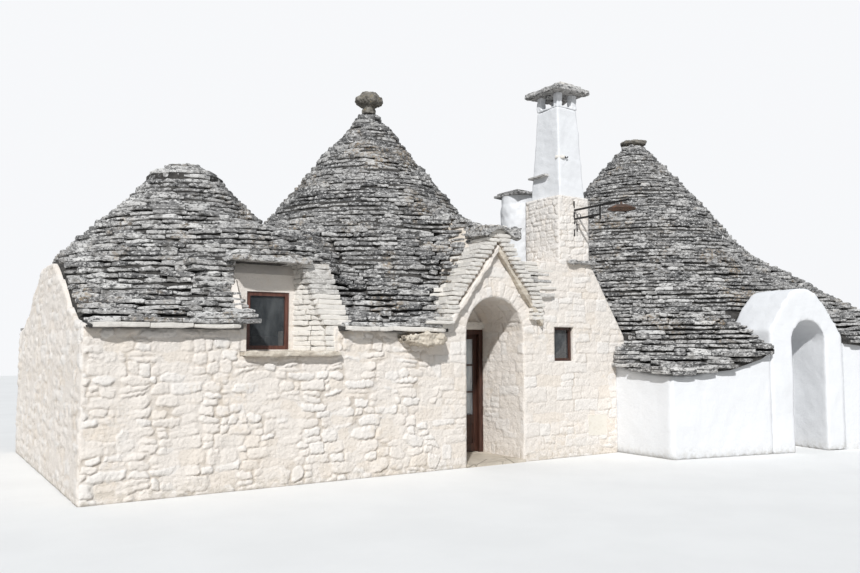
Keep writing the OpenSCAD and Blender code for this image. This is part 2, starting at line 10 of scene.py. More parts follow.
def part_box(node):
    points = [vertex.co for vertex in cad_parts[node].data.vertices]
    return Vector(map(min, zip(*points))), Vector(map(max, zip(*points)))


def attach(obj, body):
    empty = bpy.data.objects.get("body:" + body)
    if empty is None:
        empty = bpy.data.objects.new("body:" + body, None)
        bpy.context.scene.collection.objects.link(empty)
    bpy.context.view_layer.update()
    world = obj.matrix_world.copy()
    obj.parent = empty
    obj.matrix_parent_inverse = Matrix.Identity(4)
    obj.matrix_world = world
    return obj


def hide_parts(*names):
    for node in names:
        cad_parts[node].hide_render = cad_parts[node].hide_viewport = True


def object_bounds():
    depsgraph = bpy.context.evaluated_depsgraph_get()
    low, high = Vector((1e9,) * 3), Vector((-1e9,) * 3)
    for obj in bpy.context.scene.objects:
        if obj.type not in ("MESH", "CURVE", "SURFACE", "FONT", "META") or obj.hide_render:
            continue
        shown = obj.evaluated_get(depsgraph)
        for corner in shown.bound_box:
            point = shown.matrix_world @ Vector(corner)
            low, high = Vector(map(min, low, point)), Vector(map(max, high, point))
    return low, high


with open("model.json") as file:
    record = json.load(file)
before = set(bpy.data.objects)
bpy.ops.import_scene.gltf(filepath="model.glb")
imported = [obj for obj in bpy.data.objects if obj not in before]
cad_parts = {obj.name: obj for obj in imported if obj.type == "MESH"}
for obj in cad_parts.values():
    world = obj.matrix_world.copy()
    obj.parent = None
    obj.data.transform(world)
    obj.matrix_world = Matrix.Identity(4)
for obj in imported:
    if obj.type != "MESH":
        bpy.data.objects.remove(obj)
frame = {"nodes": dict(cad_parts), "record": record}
nodes = frame["nodes"]
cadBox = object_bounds()
scene = bpy.context.scene


# camera and stage

view = {"place": (-7.182, -9.135, 1.66), "tilt": 94.396, "turn": -33.5, "lens": 33.49}
stageLook = {"size": 90, "colour": (0.80, 0.80, 0.79), "bounce": (0.52, 0.505, 0.48),
             "sky": (0.93, 0.94, 0.96), "glow": (0.86, 0.92, 1.0)}
lamps = {"sun": 3.45, "sunAngle": 2.0, "sunTilt": 52, "sunTurn": -40, "sky": 0.43}


def makeCamera():
    data = bpy.data.cameras.new("camera")
    data.sensor_width = 36
    data.lens = view["lens"]
    camera = bpy.data.objects.new("camera", data)
    camera.location = view["place"]
    camera.rotation_euler = (math.radians(view["tilt"]), 0, math.radians(view["turn"]))
    scene.collection.objects.link(camera)
    scene.camera = camera


makeCamera()
print("camera set")


# shader maths in plain expressions

class Wire:
    def __init__(self, owner, socket):
        self.owner, self.socket = owner, socket

    def maths(self, operation, first, second):
        return self.owner.node("ShaderNodeMath", {"operation": operation}, {0: first, 1: second})

    def __add__(self, other): return self.maths("ADD", self, other)
    def __rsub__(self, other): return self.maths("SUBTRACT", other, self)
    def __mul__(self, other): return self.maths("MULTIPLY", self, other)


class NodeTree:
    def __init__(self, tree):
        self.tree = tree

    def node(self, kind, settings=None, inputs=None, out=0):
        made = self.tree.nodes.new(kind)
        for key, value in (settings or {}).items():
            if key == "stops":
                ramp = made.color_ramp
                while len(ramp.elements) < len(value):
                    ramp.elements.new(0.5)
                for element, (where, colour) in zip(ramp.elements, value):
                    element.position = where
                    element.color = (*colour, 1)
            else:
                setattr(made, key, value)
        for key, value in (inputs or {}).items():
            self.feed(made.inputs[key], value)
        return Wire(self, made.outputs[out])

    def feed(self, socket, value):
        if isinstance(value, Wire):
            self.tree.links.new(value.socket, socket)
        elif isinstance(value, tuple) and len(value) == 3 and socket.type == "RGBA":
            socket.default_value = (*value, 1)
        else:
            socket.default_value = value


class Shader(NodeTree):
    # one material, built node by node
    def __init__(self, name):
        self.material = bpy.data.materials.new(name)
        self.material.use_nodes = True
        super().__init__(self.material.node_tree)
        self.surface = self.tree.nodes["Principled BSDF"]
        self.place = self.node("ShaderNodeTexCoord", out="Object")

    def noise(self, scale, detail=3, rough=0.55, stretch=None):
        place = self.place
        if stretch:
            place = self.node("ShaderNodeMapping", None, {0: place, "Scale": stretch})
        return self.node("ShaderNodeTexNoise", None, {
            "Vector": place, "Scale": scale, "Detail": detail, "Roughness": rough})

    def cells(self, scale, feature="F1"):
        return self.node("ShaderNodeTexVoronoi", {"feature": feature},
                         {"Vector": self.place, "Scale": scale})

    def mark(self, name):
        return self.node("ShaderNodeAttribute", {"attribute_name": name}, out="Fac")

    def fit(self, value, low, high, start=0.0, end=1.0):
        return self.node("ShaderNodeMapRange", {"interpolation_type": "SMOOTHSTEP"}, {
            0: value, 1: low, 2: high, 3: start, 4: end})

    def blend(self, factor, first, second):
        return self.node("ShaderNodeMix", {"data_type": "RGBA"}, {0: factor, 6: first, 7: second},
                         out=2)

    def patch(self, colour, other, noise, low, high, end=1.0):
        # another colour where a noise runs high
        return self.blend(self.fit(self.noise(*noise), low, high, 0.0, end), colour, other)

    def ramp(self, factor, stops):
        return self.node("ShaderNodeValToRGB", {"stops": stops}, {0: factor})

    def height(self):
        return self.node("ShaderNodeSeparateXYZ", None, {0: self.place}, out="Z")

    def finish(self, colour, roughness, bump=None, strength=0.5, depth=0.01, **fixed):
        self.feed(self.surface.inputs["Base Color"], colour)
        self.feed(self.surface.inputs["Roughness"], roughness)
        if bump is not None:
            normal = self.node("ShaderNodeBump", None, {
                "Height": bump, "Strength": strength, "Distance": depth})
            self.feed(self.surface.inputs["Normal"], normal)
        for key, value in fixed.items():
            self.feed(self.surface.inputs[key.replace("_", " ")], value)
        return self.material


# materials

# the joint colour is painted shade laid into the recessed joints between stones
limeLook = {"face": (0.80, 0.745, 0.685), "cream": (0.77, 0.675, 0.565),
            "cool": (0.82, 0.80, 0.775), "joint": (0.50, 0.43, 0.35),
            "grime": (0.47, 0.42, 0.34), "pit": (0.40, 0.31, 0.23)}


def limeWall():
    s = Shader("limeWall")
    relief = s.mark("relief")
    tone = s.mark("tone")
    colour = s.blend(s.fit(tone, 0.60, 0.95, 0.0, 0.45), limeLook["face"], limeLook["cool"])
    colour = s.blend(s.fit(tone, 0.22, 0.02, 0.0, 0.35), colour, limeLook["cream"])
    bare = s.fit(s.noise(1.4, 4, 0.6), 0.50, 0.66) * s.fit(s.noise(11, 5, 0.65), 0.44, 0.62)
    colour = s.blend(bare * 0.5, colour, limeLook["cream"])
    # painted shade: darker where the relief sinks into the joints between stones, faded by a noise
    joint = s.fit(relief, 0.05, 0.60, 0.55, 0.0) * s.fit(s.noise(3.1, 3), 0.38, 0.60, 0.15, 1.0)
    colour = s.blend(joint, colour, limeLook["joint"])
    foot = s.fit(s.height() + s.noise(3.2, 3) * 0.25, 0.10, 0.40, 0.5, 0.0)
    colour = s.blend(foot * s.fit(s.noise(14, 4), 0.42, 0.62), colour, limeLook["grime"])
    pits = s.fit(s.noise(33, 5, 0.72), 0.60, 0.70, 0.0, 0.6)
    colour = s.blend(pits * s.fit(s.noise(2.3, 3), 0.45, 0.62), colour, limeLook["pit"])
    bump = s.noise(34, 5, 0.68) + s.noise(9, 4) * 1.2
    return s.finish(colour, 0.92, bump, 0.9, 0.016, Specular_IOR_Level=0.25)


slabLook = {"dark": (0.040, 0.040, 0.042), "low": (0.12, 0.12, 0.12), "mid": (0.27, 0.265, 0.26),
            "high": (0.47, 0.46, 0.445), "pale": (0.74, 0.73, 0.71), "ochre": (0.36, 0.27, 0.17),
            "moss": (0.065, 0.060, 0.052), "white": (0.80, 0.765, 0.71)}


def roofSlab():
    s = Shader("roofSlab")
    tone = s.mark("tone")
    lime = s.mark("lime")
    base = s.ramp(tone, [(where, slabLook[shade]) for where, shade in
                         ((0.0, "low"), (0.35, "mid"), (0.70, "high"), (1.0, "pale"))])
    crust = s.fit(s.noise(12, 6, 0.75, stretch=(1, 1, 2.2)), 0.48, 0.58, 0.0, 0.88)
    colour = s.blend(crust, base, slabLook["dark"])
    bright = s.fit(s.noise(21, 6, 0.75, stretch=(1, 1, 1.8)), 0.51, 0.60, 0.0, 0.90)
    colour = s.blend(bright, colour, slabLook["pale"])
    warm = s.fit(s.noise(1.7, 4), 0.52, 0.68) * s.fit(s.noise(20, 4), 0.45, 0.62)
    colour = s.blend(warm * 0.6, colour, slabLook["ochre"])
    colour = s.patch(colour, slabLook["moss"], (4.3, 4), 0.58, 0.70, 0.6)
    painted = lime * s.fit(s.noise(19, 5), 0.28, 0.50, 0.75, 1.0)
    colour = s.blend(painted, colour, slabLook["white"])
    bump = s.noise(44, 6, 0.75) + s.noise(13, 4) * 0.9
    return s.finish(colour, 0.90, bump, 0.9, 0.014, Specular_IOR_Level=0.3)


# near-black bed seen through the gaps between slabs: painted shade in the crevices
def roofBedPaintedShade():
    s = Shader("roofBedPaintedShade")
    grain = s.noise(12, 5, 0.7)
    colour = s.ramp(grain, [(0.35, (0.018, 0.017, 0.016)), (0.65, (0.075, 0.070, 0.064))])
    return s.finish(colour, 0.95, grain, 0.8, 0.03)


plasterLook = {"face": (0.775, 0.785, 0.80), "shade": (0.69, 0.70, 0.715),
               "foot": (0.50, 0.48, 0.43)}


def whitePlaster():
    s = Shader("whitePlaster")
    streak = s.noise(2.6, 4, 0.6, stretch=(1.0, 1.0, 0.22))
    streak = s.fit(streak, 0.52, 0.76, 0.0, 0.35)
    colour = s.blend(streak, plasterLook["face"], plasterLook["shade"])
    colour = s.patch(colour, plasterLook["foot"], (55, 3, 0.7), 0.64, 0.76, 0.35)
    foot = s.fit(s.height() + s.noise(4.5, 4) * 0.22, 0.05, 0.32, 0.5, 0.0)
    colour = s.blend(foot * s.fit(s.noise(17, 4), 0.38, 0.60), colour, plasterLook["foot"])
    bump = s.noise(3.4, 5, 0.62) + s.noise(42, 3) * 0.12
    return s.finish(colour, 0.86, bump, 0.5, 0.03, Specular_IOR_Level=0.3)


def paleSlab():
    s = Shader("paleSlab")
    bed = s.noise(6, 5, 0.6, stretch=(1, 1, 3.5))
    colour = s.ramp(bed, [(0.30, (0.42, 0.36, 0.29)), (0.55, (0.61, 0.55, 0.46)),
                          (0.75, (0.73, 0.69, 0.61))])
    colour = s.patch(colour, (0.27, 0.235, 0.19), (31, 5, 0.7), 0.54, 0.68, 0.5)
    bump = s.noise(26, 5, 0.7) + bed * 0.8
    return s.finish(colour, 0.9, bump, 0.7, 0.012, Specular_IOR_Level=0.3)


def capStone():
    s = Shader("capStone")
    grain = s.noise(9, 6, 0.68)
    colour = s.ramp(grain, [(0.32, (0.085, 0.078, 0.068)), (0.52, (0.215, 0.20, 0.175)),
                            (0.70, (0.37, 0.345, 0.30))])
    colour = s.patch(colour, (0.34, 0.27, 0.14), (21, 4), 0.57, 0.70, 0.6)
    bump = s.noise(33, 5, 0.7) + grain * 0.7
    return s.finish(colour, 0.92, bump, 0.85, 0.02, Specular_IOR_Level=0.25)


def wood(name, dark, light):
    s = Shader(name)
    grain = s.noise(7, 5, 0.62, stretch=(9, 9, 0.7))
    fine = s.noise(30, 3, 0.6, stretch=(6, 6, 0.4))
    colour = s.blend(s.fit(grain, 0.35, 0.68), dark, light)
    colour = s.blend(s.fit(fine, 0.55, 0.75, 0.0, 0.4), colour, tuple(c * 0.45 for c in dark))
    roughness = s.fit(grain, 0.3, 0.7, 0.38, 0.56)
    return s.finish(colour, roughness, grain * 0.6 + fine * 0.4, 0.35, 0.004)


def glass(name, low, high, tintAndSkyReflection=((0.055, 0.062, 0.068), (0.13, 0.14, 0.145))):
    s = Shader(name)
    dust = s.noise(5, 4, 0.6, stretch=(1, 1, 0.3))
    roughness = s.fit(dust, 0.3, 0.7, 0.03, 0.14)
    # film colours: a dark tint on the window glass, a pale painted sky reflection on the door glass
    colour = s.blend(s.fit(dust, 0.4, 0.7), *tintAndSkyReflection)
    return s.finish(colour, roughness, Alpha=s.fit(dust, 0.35, 0.70, low, high),
                    Specular_IOR_Level=0.6)


def iron(name, dark, rust, share):
    s = Shader(name)
    patch = s.fit(s.noise(14, 5, 0.65), 0.62 - share, 0.78 - share)
    colour = s.blend(patch, dark, rust)
    colour = s.patch(colour, tuple(c * 0.5 for c in rust), (60, 4), 0.55, 0.7, 0.5)
    roughness = s.fit(patch, 0.0, 1.0, 0.45, 0.9)
    return s.finish(colour, roughness, s.noise(80, 4), 0.5, 0.003, Metallic=0.35)


def creamPaint():
    s = Shader("creamPaint")
    wear = s.noise(8, 5, 0.62)
    colour = s.blend(s.fit(wear, 0.52, 0.72, 0.0, 0.6), (0.76, 0.72, 0.64), (0.60, 0.54, 0.44))
    colour = s.patch(colour, (0.33, 0.22, 0.14), (40, 4), 0.66, 0.74)
    return s.finish(colour, 0.62, wear, 0.3, 0.004)


def floorStone():
    s = Shader("floorStone")
    joint = s.cells(2.3, "DISTANCE_TO_EDGE")
    colour = s.ramp(s.noise(3.5, 5, 0.6), [(0.3, (0.42, 0.37, 0.30)), (0.7, (0.62, 0.56, 0.47))])
    colour = s.blend(s.fit(joint, 0.0, 0.03, 0.8, 0.0), colour, (0.20, 0.17, 0.13))
    return s.finish(colour, s.fit(s.noise(5, 3), 0.3, 0.7, 0.45, 0.75),
                    s.fit(joint, 0.0, 0.05) + s.noise(25, 4) * 0.2, 0.5, 0.008)


def laceCloth():
    s = Shader("laceCloth")
    net = s.cells(95, "DISTANCE_TO_EDGE")
    motif = s.fit(s.cells(11), 0.18, 0.34)
    thread = s.fit(net, 0.02, 0.12, 1.0, 0.35)
    colour = s.patch((0.90, 0.91, 0.91), (0.80, 0.82, 0.83), (20, 3), 0.4, 0.7)
    alpha = 1 - motif * (1 - thread) * 0.7
    return s.finish(colour, 0.9, thread, 0.4, 0.001, Alpha=alpha)


def paleGround():
    s = Shader("paleGround")
    # the walls get less light back from the ground than the eye does
    rays = [s.node("ShaderNodeLightPath", out=f"Is {kind} Ray")
            for kind in ("Camera", "Glossy", "Transmission")]
    colour = s.patch(stageLook["colour"], tuple(c * 0.96 for c in stageLook["colour"]), (0.9, 4),
                     0.3, 0.7)
    colour = s.blend(rays[0] + rays[1] + rays[2], stageLook["bounce"], colour)
    return s.finish(colour, 0.95)


finishes = {
    "whitewash_stone": limeWall(), "roof_stone": roofSlab(), "pale_stone": paleSlab(),
    "finial_stone": capStone(), "white_plaster": whitePlaster(),
    "dark_wood": wood("darkWood", (0.030, 0.012, 0.008), (0.080, 0.032, 0.020)),
    "red_brown_wood": wood("redBrownWood", (0.072, 0.026, 0.018), (0.145, 0.057, 0.039)),
    "window_glass": glass("windowGlass", 0.36, 0.50),
    "black_iron": iron("blackIron", (0.016, 0.015, 0.015), (0.10, 0.045, 0.022), 0.0),
    "rusty_iron": iron("rustyIron", (0.10, 0.060, 0.042), (0.22, 0.11, 0.065), 0.10),
    "cream_paint": creamPaint(), "floor_stone": floorStone(),
}
bedPaintedShade = roofBedPaintedShade()
# door glass: its pale colour is a painted reflection of the sky over the lace
doorGlassSkyReflection = glass("doorGlassSkyReflection", 0.34, 0.50, ((0.72, 0.78, 0.82), (0.86, 0.90, 0.92)))
print("materials made")


slots = {part["node"]: part["material_slot"] for part in frame["record"]["subparts"]}
otherCoats = {"right_end_wall": finishes["white_plaster"], "door_glass": doorGlassSkyReflection}


def repaint(piece, material):
    piece.data.materials.clear()
    piece.data.materials.append(material)


def coatNodes():
    for name, piece in nodes.items():
        repaint(piece, otherCoats.get(name, finishes[slots[name]]))
        for mark, value in (("relief", 1.0), ("tone", 0.5), ("lime", 0.0)):
            layer = piece.data.attributes.new(mark, "FLOAT", "POINT")
            layer.data.foreach_set("value", np.full(len(piece.data.vertices), value))


coatNodes()


# mesh helpers

def vertexData(mesh, field):
    values = np.empty(len(mesh.vertices) * 3)
    mesh.vertices.foreach_get(field, values)
    return values.reshape(-1, 3)


def ripple(points, scale, seed, waves=9):
    # smooth random field from a few sine waves, about -1 to 1
    rng = np.random.default_rng(seed)
    points = np.asarray(points, float)
    total = np.zeros(len(points))
    for _ in range(waves):
        direction = rng.normal(size=points.shape[1])
        direction *= 2 * math.pi / scale * rng.uniform(0.6, 1.5) / np.linalg.norm(direction)
        total += np.sin(points @ direction + rng.uniform(0, 2 * math.pi))
    return total / math.sqrt(waves / 2) * 0.7


def buildPiece(name, points, quads, slot, marks=None, body="house", smooth=True, triangles=None):
    mesh = bpy.data.meshes.new(name)
    quads = np.asarray(quads, np.int32).reshape(-1, 4)
    triangles = np.zeros((0, 3), np.int32) if triangles is None else np.asarray(triangles, np.int32)
    corners = np.concatenate([quads.ravel(), triangles.ravel()])
    sizes = np.concatenate([np.full(len(quads), 4), np.full(len(triangles), 3)])
    mesh.vertices.add(len(points))
    mesh.vertices.foreach_set("co", np.asarray(points, np.float32).ravel())
    mesh.loops.add(len(corners))
    mesh.loops.foreach_set("vertex_index", corners.astype(np.int32))
    mesh.polygons.add(len(sizes))
    mesh.polygons.foreach_set("loop_start", (np.cumsum(sizes) - sizes).astype(np.int32))
    mesh.polygons.foreach_set("loop_total", sizes.astype(np.int32))
    mesh.polygons.foreach_set("use_smooth", np.full(len(sizes), smooth))
    for mark, values in (marks or {}).items():
        layer = mesh.attributes.new(mark, "FLOAT", "POINT")
        layer.data.foreach_set("value", np.asarray(values, np.float32))
    mesh.update(calc_edges=True)
    mesh.validate()
    piece = bpy.data.objects.new(name, mesh)
    scene.collection.objects.link(piece)
    mesh.materials.append(finishes[slot])
    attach(piece, body)
    return piece


# height of the bare roofs, read from the frame

roofGrid = {"step": 0.04, "margin": 0.12, "valley": 0.22, "inner": (0.80, 0.19), "level": 0.10,
            "known": 0.985, "lip": 0.036}


def rayTree(mesh):
    return BVHTree.FromPolygons([v.co for v in mesh.vertices], [p.vertices for p in mesh.polygons])


def bareRoofs():
    names = ["left_roof", "middle_roof", "right_roof", "porch_roof", "dormer_hood"]
    boxes = [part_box(name) for name in names]
    low = np.min([b[0][:2] for b in boxes], axis=0) - roofGrid["margin"]
    high = np.max([b[1][:2] for b in boxes], axis=0) + roofGrid["margin"]
    xs = np.arange(low[0], high[0], roofGrid["step"])
    ys = np.arange(low[1], high[1], roofGrid["step"])
    height = np.full((len(xs), len(ys)), np.nan)
    under = np.full((len(xs), len(ys)), np.nan)
    for name, (lowCorner, highCorner) in zip(names, boxes):
        tree = rayTree(nodes[name].data)
        carried = name not in ("porch_roof", "dormer_hood")
        for i in np.nonzero((xs > lowCorner[0]) & (xs < highCorner[0]))[0]:
            for j in np.nonzero((ys > lowCorner[1]) & (ys < highCorner[1]))[0]:
                hit = tree.ray_cast(Vector((xs[i], ys[j], 9)), Vector((0, 0, -1)))[0]
                if hit is not None:
                    height[i, j] = np.nanmax([height[i, j], hit[2]])
                    if carried:
                        foot = tree.ray_cast(Vector((xs[i], ys[j], -1)), Vector((0, 0, 1)))[0]
                        under[i, j] = np.nanmin([under[i, j], foot[2]])
    return xs, ys, height, under


def softened(field, known, reach):
    # blur that leaves the unknown cells out
    radius = int(2.5 * reach)
    taps = np.exp(-0.5 * (np.arange(-radius, radius + 1) / reach) ** 2)
    value, weight = np.where(known, field, 0.0), known.astype(float)
    for axis in (0, 1):
        value, weight = (np.apply_along_axis(np.convolve, axis, f, taps, "same")
                         for f in (value, weight))
    return value / np.maximum(weight, 1e-9), weight / taps.sum() ** 2


def filledValleys(height):
    known = ~np.isnan(height)
    reach = roofGrid["valley"] / roofGrid["step"]
    blurred, share = softened(height, known, reach)
    inner = np.clip((share - roofGrid["inner"][0]) / roofGrid["inner"][1], 0, 1)
    lift = np.nan_to_num(np.maximum(blurred - height, 0) * inner)
    filled = np.where(known, height + lift, np.nan)
    # the lips of the solid's bands go, and the stones make their own steps
    level, share = softened(filled, known, roofGrid["level"] / roofGrid["step"])
    level = np.clip(level, filled - roofGrid["lip"], filled + roofGrid["lip"])
    return np.where(share > roofGrid["known"], level, filled)


gridX, gridY, bareHeight, bareUnder = bareRoofs()
roofHeight = filledValleys(bareHeight)
print("roof heights read", roofHeight.shape)


def sample(grid, x, y):
    # nearest known value of a grid at places x, y
    i = np.clip(np.round((x - gridX[0]) / roofGrid["step"]).astype(int), 0, len(gridX) - 1)
    j = np.clip(np.round((y - gridY[0]) / roofGrid["step"]).astype(int), 0, len(gridY) - 1)
    return grid[i, j]


slopeX, slopeY = np.gradient(roofHeight, roofGrid["step"])
steady = ~np.isnan(slopeX + slopeY)
slopeX, slopeY = (np.where(steady, g, softened(g, steady, 2.0)[0]) for g in (slopeX, slopeY))


# contour lines of the roof field

def contour(field):
    # marching squares on the roof grid, chained to lines
    a, b, c, d = field[:-1, :-1], field[1:, :-1], field[1:, 1:], field[:-1, 1:]
    whole = ~np.isnan(a + b + c + d)
    above = sum((v > 0).astype(int) for v in (a, b, c, d))
    cells = np.argwhere(whole & (above > 0) & (above < 4))
    ends, places = {}, {}
    for i, j in cells:
        corner = ((i, j), (i + 1, j), (i + 1, j + 1), (i, j + 1))
        found = []
        for k in range(4):
            p, q = corner[k], corner[(k + 1) % 4]
            fp, fq = field[p], field[q]
            if (fp > 0) != (fq > 0):
                key = (p, q) if p < q else (q, p)
                t = fp / (fp - fq)
                places[key] = (gridX[p[0]] + t * (gridX[q[0]] - gridX[p[0]]),
                               gridY[p[1]] + t * (gridY[q[1]] - gridY[p[1]]))
                found.append(key)
        for k in range(0, len(found) - 1, 2):
            ends.setdefault(found[k], []).append(found[k + 1])
            ends.setdefault(found[k + 1], []).append(found[k])
    lines, seen = [], set()
    starts = sorted(key for key in ends if len(ends[key]) == 1) + sorted(ends)
    for start in starts:
        if start in seen:
            continue
        line = [start]
        seen.add(start)
        while True:
            ahead = [key for key in ends[line[-1]] if key not in seen]
            if not ahead:
                break
            line.append(ahead[0])
            seen.add(ahead[0])
        if len(line) > 2:
            closed = line[0] in ends[line[-1]] and len(line) > 8
            points = [places[key] for key in line]
            lines.append(np.array(points + points[:1] if closed else points))
    return lines


def runAlong(line):
    return np.concatenate([[0], np.cumsum(np.linalg.norm(np.diff(line, axis=0), axis=1))])


def unit(rows):
    return rows / np.maximum(np.linalg.norm(rows, axis=1), 1e-9)[:, None]


def evenly(line, spacing):
    run = runAlong(line)
    if run[-1] < spacing:
        return None
    count = max(3, int(run[-1] / spacing))
    at = np.linspace(0, run[-1], count)
    return np.stack([np.interp(at, run, line[:, 0]), np.interp(at, run, line[:, 1])], 1)


def calmed(points, passes=2):
    # takes the grid's small steps out of a line
    points = points.copy()
    for _ in range(passes):
        points[1:-1] = 0.25 * points[:-2] + 0.5 * points[1:-1] + 0.25 * points[2:]
    return points


def stretches(keep, parted):
    # the runs of a line that are kept, cut where it turns or changes sides
    breaks = [0] + [k for k in range(1, len(keep)) if keep[k] != keep[k - 1] or parted[k]]
    breaks.append(len(keep))
    return [(first, last) for first, last in zip(breaks, breaks[1:])
            if keep[first] and last - first > 2]


# slabs

slabSizes = {"course": 0.070, "thick": (0.036, 0.070), "length": (0.14, 0.50), "gap": 0.007,
             "out": (-0.040, 0.018), "stations": 5, "bed": 0.055, "wave": 0.017, "under": 0.060,
             "roll": 0.022, "paler": (0.10, -0.05, -0.04, 0.0), "backFrom": 2.6, "turn": 0.25,
             # rows in eighths of a course: how flat the roof has to be for each of them
             "flat": (99, 0.06, 0.13, 0.06, 0.30, 0.06, 0.13, 0.06)}
slabShape = {"squareRough": 0.35, "wobble": 0.008, "endsIn": 0.022, "under": 0.016,
             "crown": (0.004, 0.016), "uneven": 0.07, "endsLow": (0.02, 0.50), "foot": 0.003,
             "endsUp": 0.010, "lip": 0.004, "tone": (1.5, 1.7), "tilt": (-0.02, 0.045)}
slabCuts = {"shortest": 0.07, "rest": 0.09, "least": 0.04, "short": (0.75, 0.25), "flat": 0.06,
            "deepest": 0.55, "tiltFrom": 0.25}
toFront = (0.0, -1.0)


class SlabPile:
    # collects slabs, then makes one mesh of them
    def __init__(self, seed):
        self.rng = np.random.default_rng(seed)
        self.rows = []

    def add(self, points, outward, z, thick, depth, out, tone, lime, tilt=0.0, square=True):
        outward = np.tile(outward, (slabSizes["stations"], 1))
        self.rows.append((points, outward, z, thick, depth, out, tone, lime, tilt, square))

    def bar(self, start, end, *rest, **more):
        # one straight slab
        self.add(np.linspace(start, end, slabSizes["stations"]), *rest, **more)

    def build(self, name):
        rng = self.rng
        count = len(self.rows)
        stations = slabSizes["stations"]
        base = np.array([row[0] for row in self.rows])
        outward = np.array([row[1] for row in self.rows])
        z, thick, depth, out, tone, lime, tilt, square = (
            np.array([row[k] for row in self.rows], float) for k in range(2, 10))
        end = np.zeros(stations)
        end[[0, -1]] = 1
        shape, every = slabShape, (count, stations)
        rough = np.where(square, shape["squareRough"], 1.0)[:, None]
        front = out[:, None] + rng.normal(0, shape["wobble"], every) * rough
        front -= end * rng.uniform(0.0, shape["endsIn"], every) * rough
        under = rng.uniform(0.0, shape["under"], (count, 1)) * rough
        crown = rng.uniform(*shape["crown"], (count, 1))
        top = thick[:, None] * (1 + rng.normal(0, shape["uneven"], every) * rough)
        top *= 1 - end * rng.uniform(*shape["endsLow"], every) * rough
        foot = rng.normal(0, shape["foot"], every)
        foot += end * rng.uniform(0, shape["endsUp"], every)
        run = np.linspace(-0.5, 0.5, stations)[None, :]
        width = np.linalg.norm(base[:, -1] - base[:, 0], axis=1)[:, None]
        foot += run * width * rng.normal(0, slabSizes["roll"], (count, 1)) * rough
        back = -depth[:, None] * np.ones((1, stations))
        across = [back, front - under - shape["lip"], front - 0.3 * under, front, front - crown,
                  back]
        upward = [foot, foot, foot + top * 0.22, foot + top * 0.86, foot + top, foot + top * 0.96]
        points = np.zeros((count, stations, 6, 3))
        for k in range(6):
            a, b = across[k], upward[k] + tilt[:, None] * across[k]
            points[:, :, k, 0] = base[:, :, 0] + outward[:, :, 0] * a
            points[:, :, k, 1] = base[:, :, 1] + outward[:, :, 1] * a
            points[:, :, k, 2] = z[:, None] + b
        quads = [(s * 6 + k, s * 6 + (k + 1) % 6, s * 6 + 6 + (k + 1) % 6, s * 6 + 6 + k)
                 for s in range(stations - 1) for k in range(6)]
        last = (stations - 1) * 6
        caps = [(0, 5, 2, 1), (5, 4, 3, 2), (last, last + 1, last + 2, last + 5),
                (last + 5, last + 2, last + 3, last + 4)]
        quads = np.array(quads + caps)
        size = stations * 6
        allQuads = (quads[None] + (np.arange(count) * size)[:, None, None]).reshape(-1, 4)
        marks = {"tone": np.repeat(tone, size), "lime": np.repeat(lime, size),
                 "relief": np.ones(count * size)}
        buildPiece(name, points.reshape(-1, 3), allQuads, "roof_stone", marks, smooth=False)
        print(name, count, "slabs")


def layRun(pile, points, level, lengths, limeAt=0.0, noSlab=None, thick=slabSizes["thick"],
           out=slabSizes["out"], deepest=9, depth=None, paler=0.0, outward=None):
    # cuts one line into slabs and adds them to the pile; its level may change along it
    rng = pile.rng
    run = runAlong(points)
    total = run[-1]
    levels = level + np.zeros(len(points))
    share, often = slabCuts["short"]
    if total < slabCuts["shortest"]:
        return
    at = -rng.uniform(0, 0.02)
    while at < total - 0.05:
        length = rng.uniform(*lengths) * (share if rng.random() < often else 1.0)
        until = min(at + length, total + rng.uniform(0, 0.02))
        if total - until < slabCuts["rest"]:
            until = total + rng.uniform(-0.01, 0.02)
        gap = slabSizes["gap"] * rng.uniform(0.5, 1.6)
        where = np.linspace(at, until - gap, slabSizes["stations"])
        inside = np.clip(where, 0, total)
        x = np.interp(inside, run, points[:, 0])
        y = np.interp(inside, run, points[:, 1])
        here = np.interp(inside, run, levels).mean()
        along = np.array([x[-1] - x[0], y[-1] - y[0]])
        size = np.linalg.norm(along)
        at = until
        if size < slabCuts["least"]:
            continue
        along /= size
        beyond = where - inside
        x = x + along[0] * beyond
        y = y + along[1] * beyond
        middle = np.array([x.mean(), y.mean()])
        if noSlab and noSlab(*middle, here):
            continue
        if outward is None:
            gx = sample(slopeX, x, y)
            gy = sample(slopeY, x, y)
            steep = max(np.hypot(gx, gy).mean(), slabCuts["flat"])
            normal = -np.stack([gx, gy], 1).mean(0)
        else:
            steep = 1.0
            normal = np.array(outward, float)
        across = np.array([along[1], -along[0]])
        if across @ normal < 0:
            across = -across
        setback = depth or (min(slabSizes["course"] / steep, slabCuts["deepest"])
                            + slabSizes["bed"])
        tone = np.clip(rng.beta(*slabShape["tone"]) + paler, 0, 0.98)
        high = here + slabSizes["wave"] * math.sin(middle[0] * 3.1 + middle[1] * 2.3 + here * 5)
        lime = limeAt(*middle, here) if callable(limeAt) else limeAt
        tilted = steep > slabCuts["tiltFrom"] and not depth
        pile.add(np.stack([x, y], 1), across, (here if depth else high) + rng.normal(0, 0.003),
                 rng.uniform(*thick), min(setback, deepest), rng.uniform(*out), tone, lime,
                 rng.normal(*slabShape["tilt"]) if tilted else 0.0, depth is not None)


roofKeep = {"flue": (1.535, 1.30, 0.34), "porch": 0.98, "limeDepth": (0.26, 0.10),
            "cheek": (-0.05, 0.16), "cheekDepth": 0.30, "cheekTop": 2.35}


def noSlabHere(x, y, level):
    fx, fy, reach = roofKeep["flue"]
    if (x - fx) ** 2 + (y - fy) ** 2 < reach ** 2:
        return True
    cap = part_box("gable_cap_slab")
    return cap[0][0] < x < cap[1][0] and y < cap[1][1] - 0.05 and level > cap[0][2] + 0.05


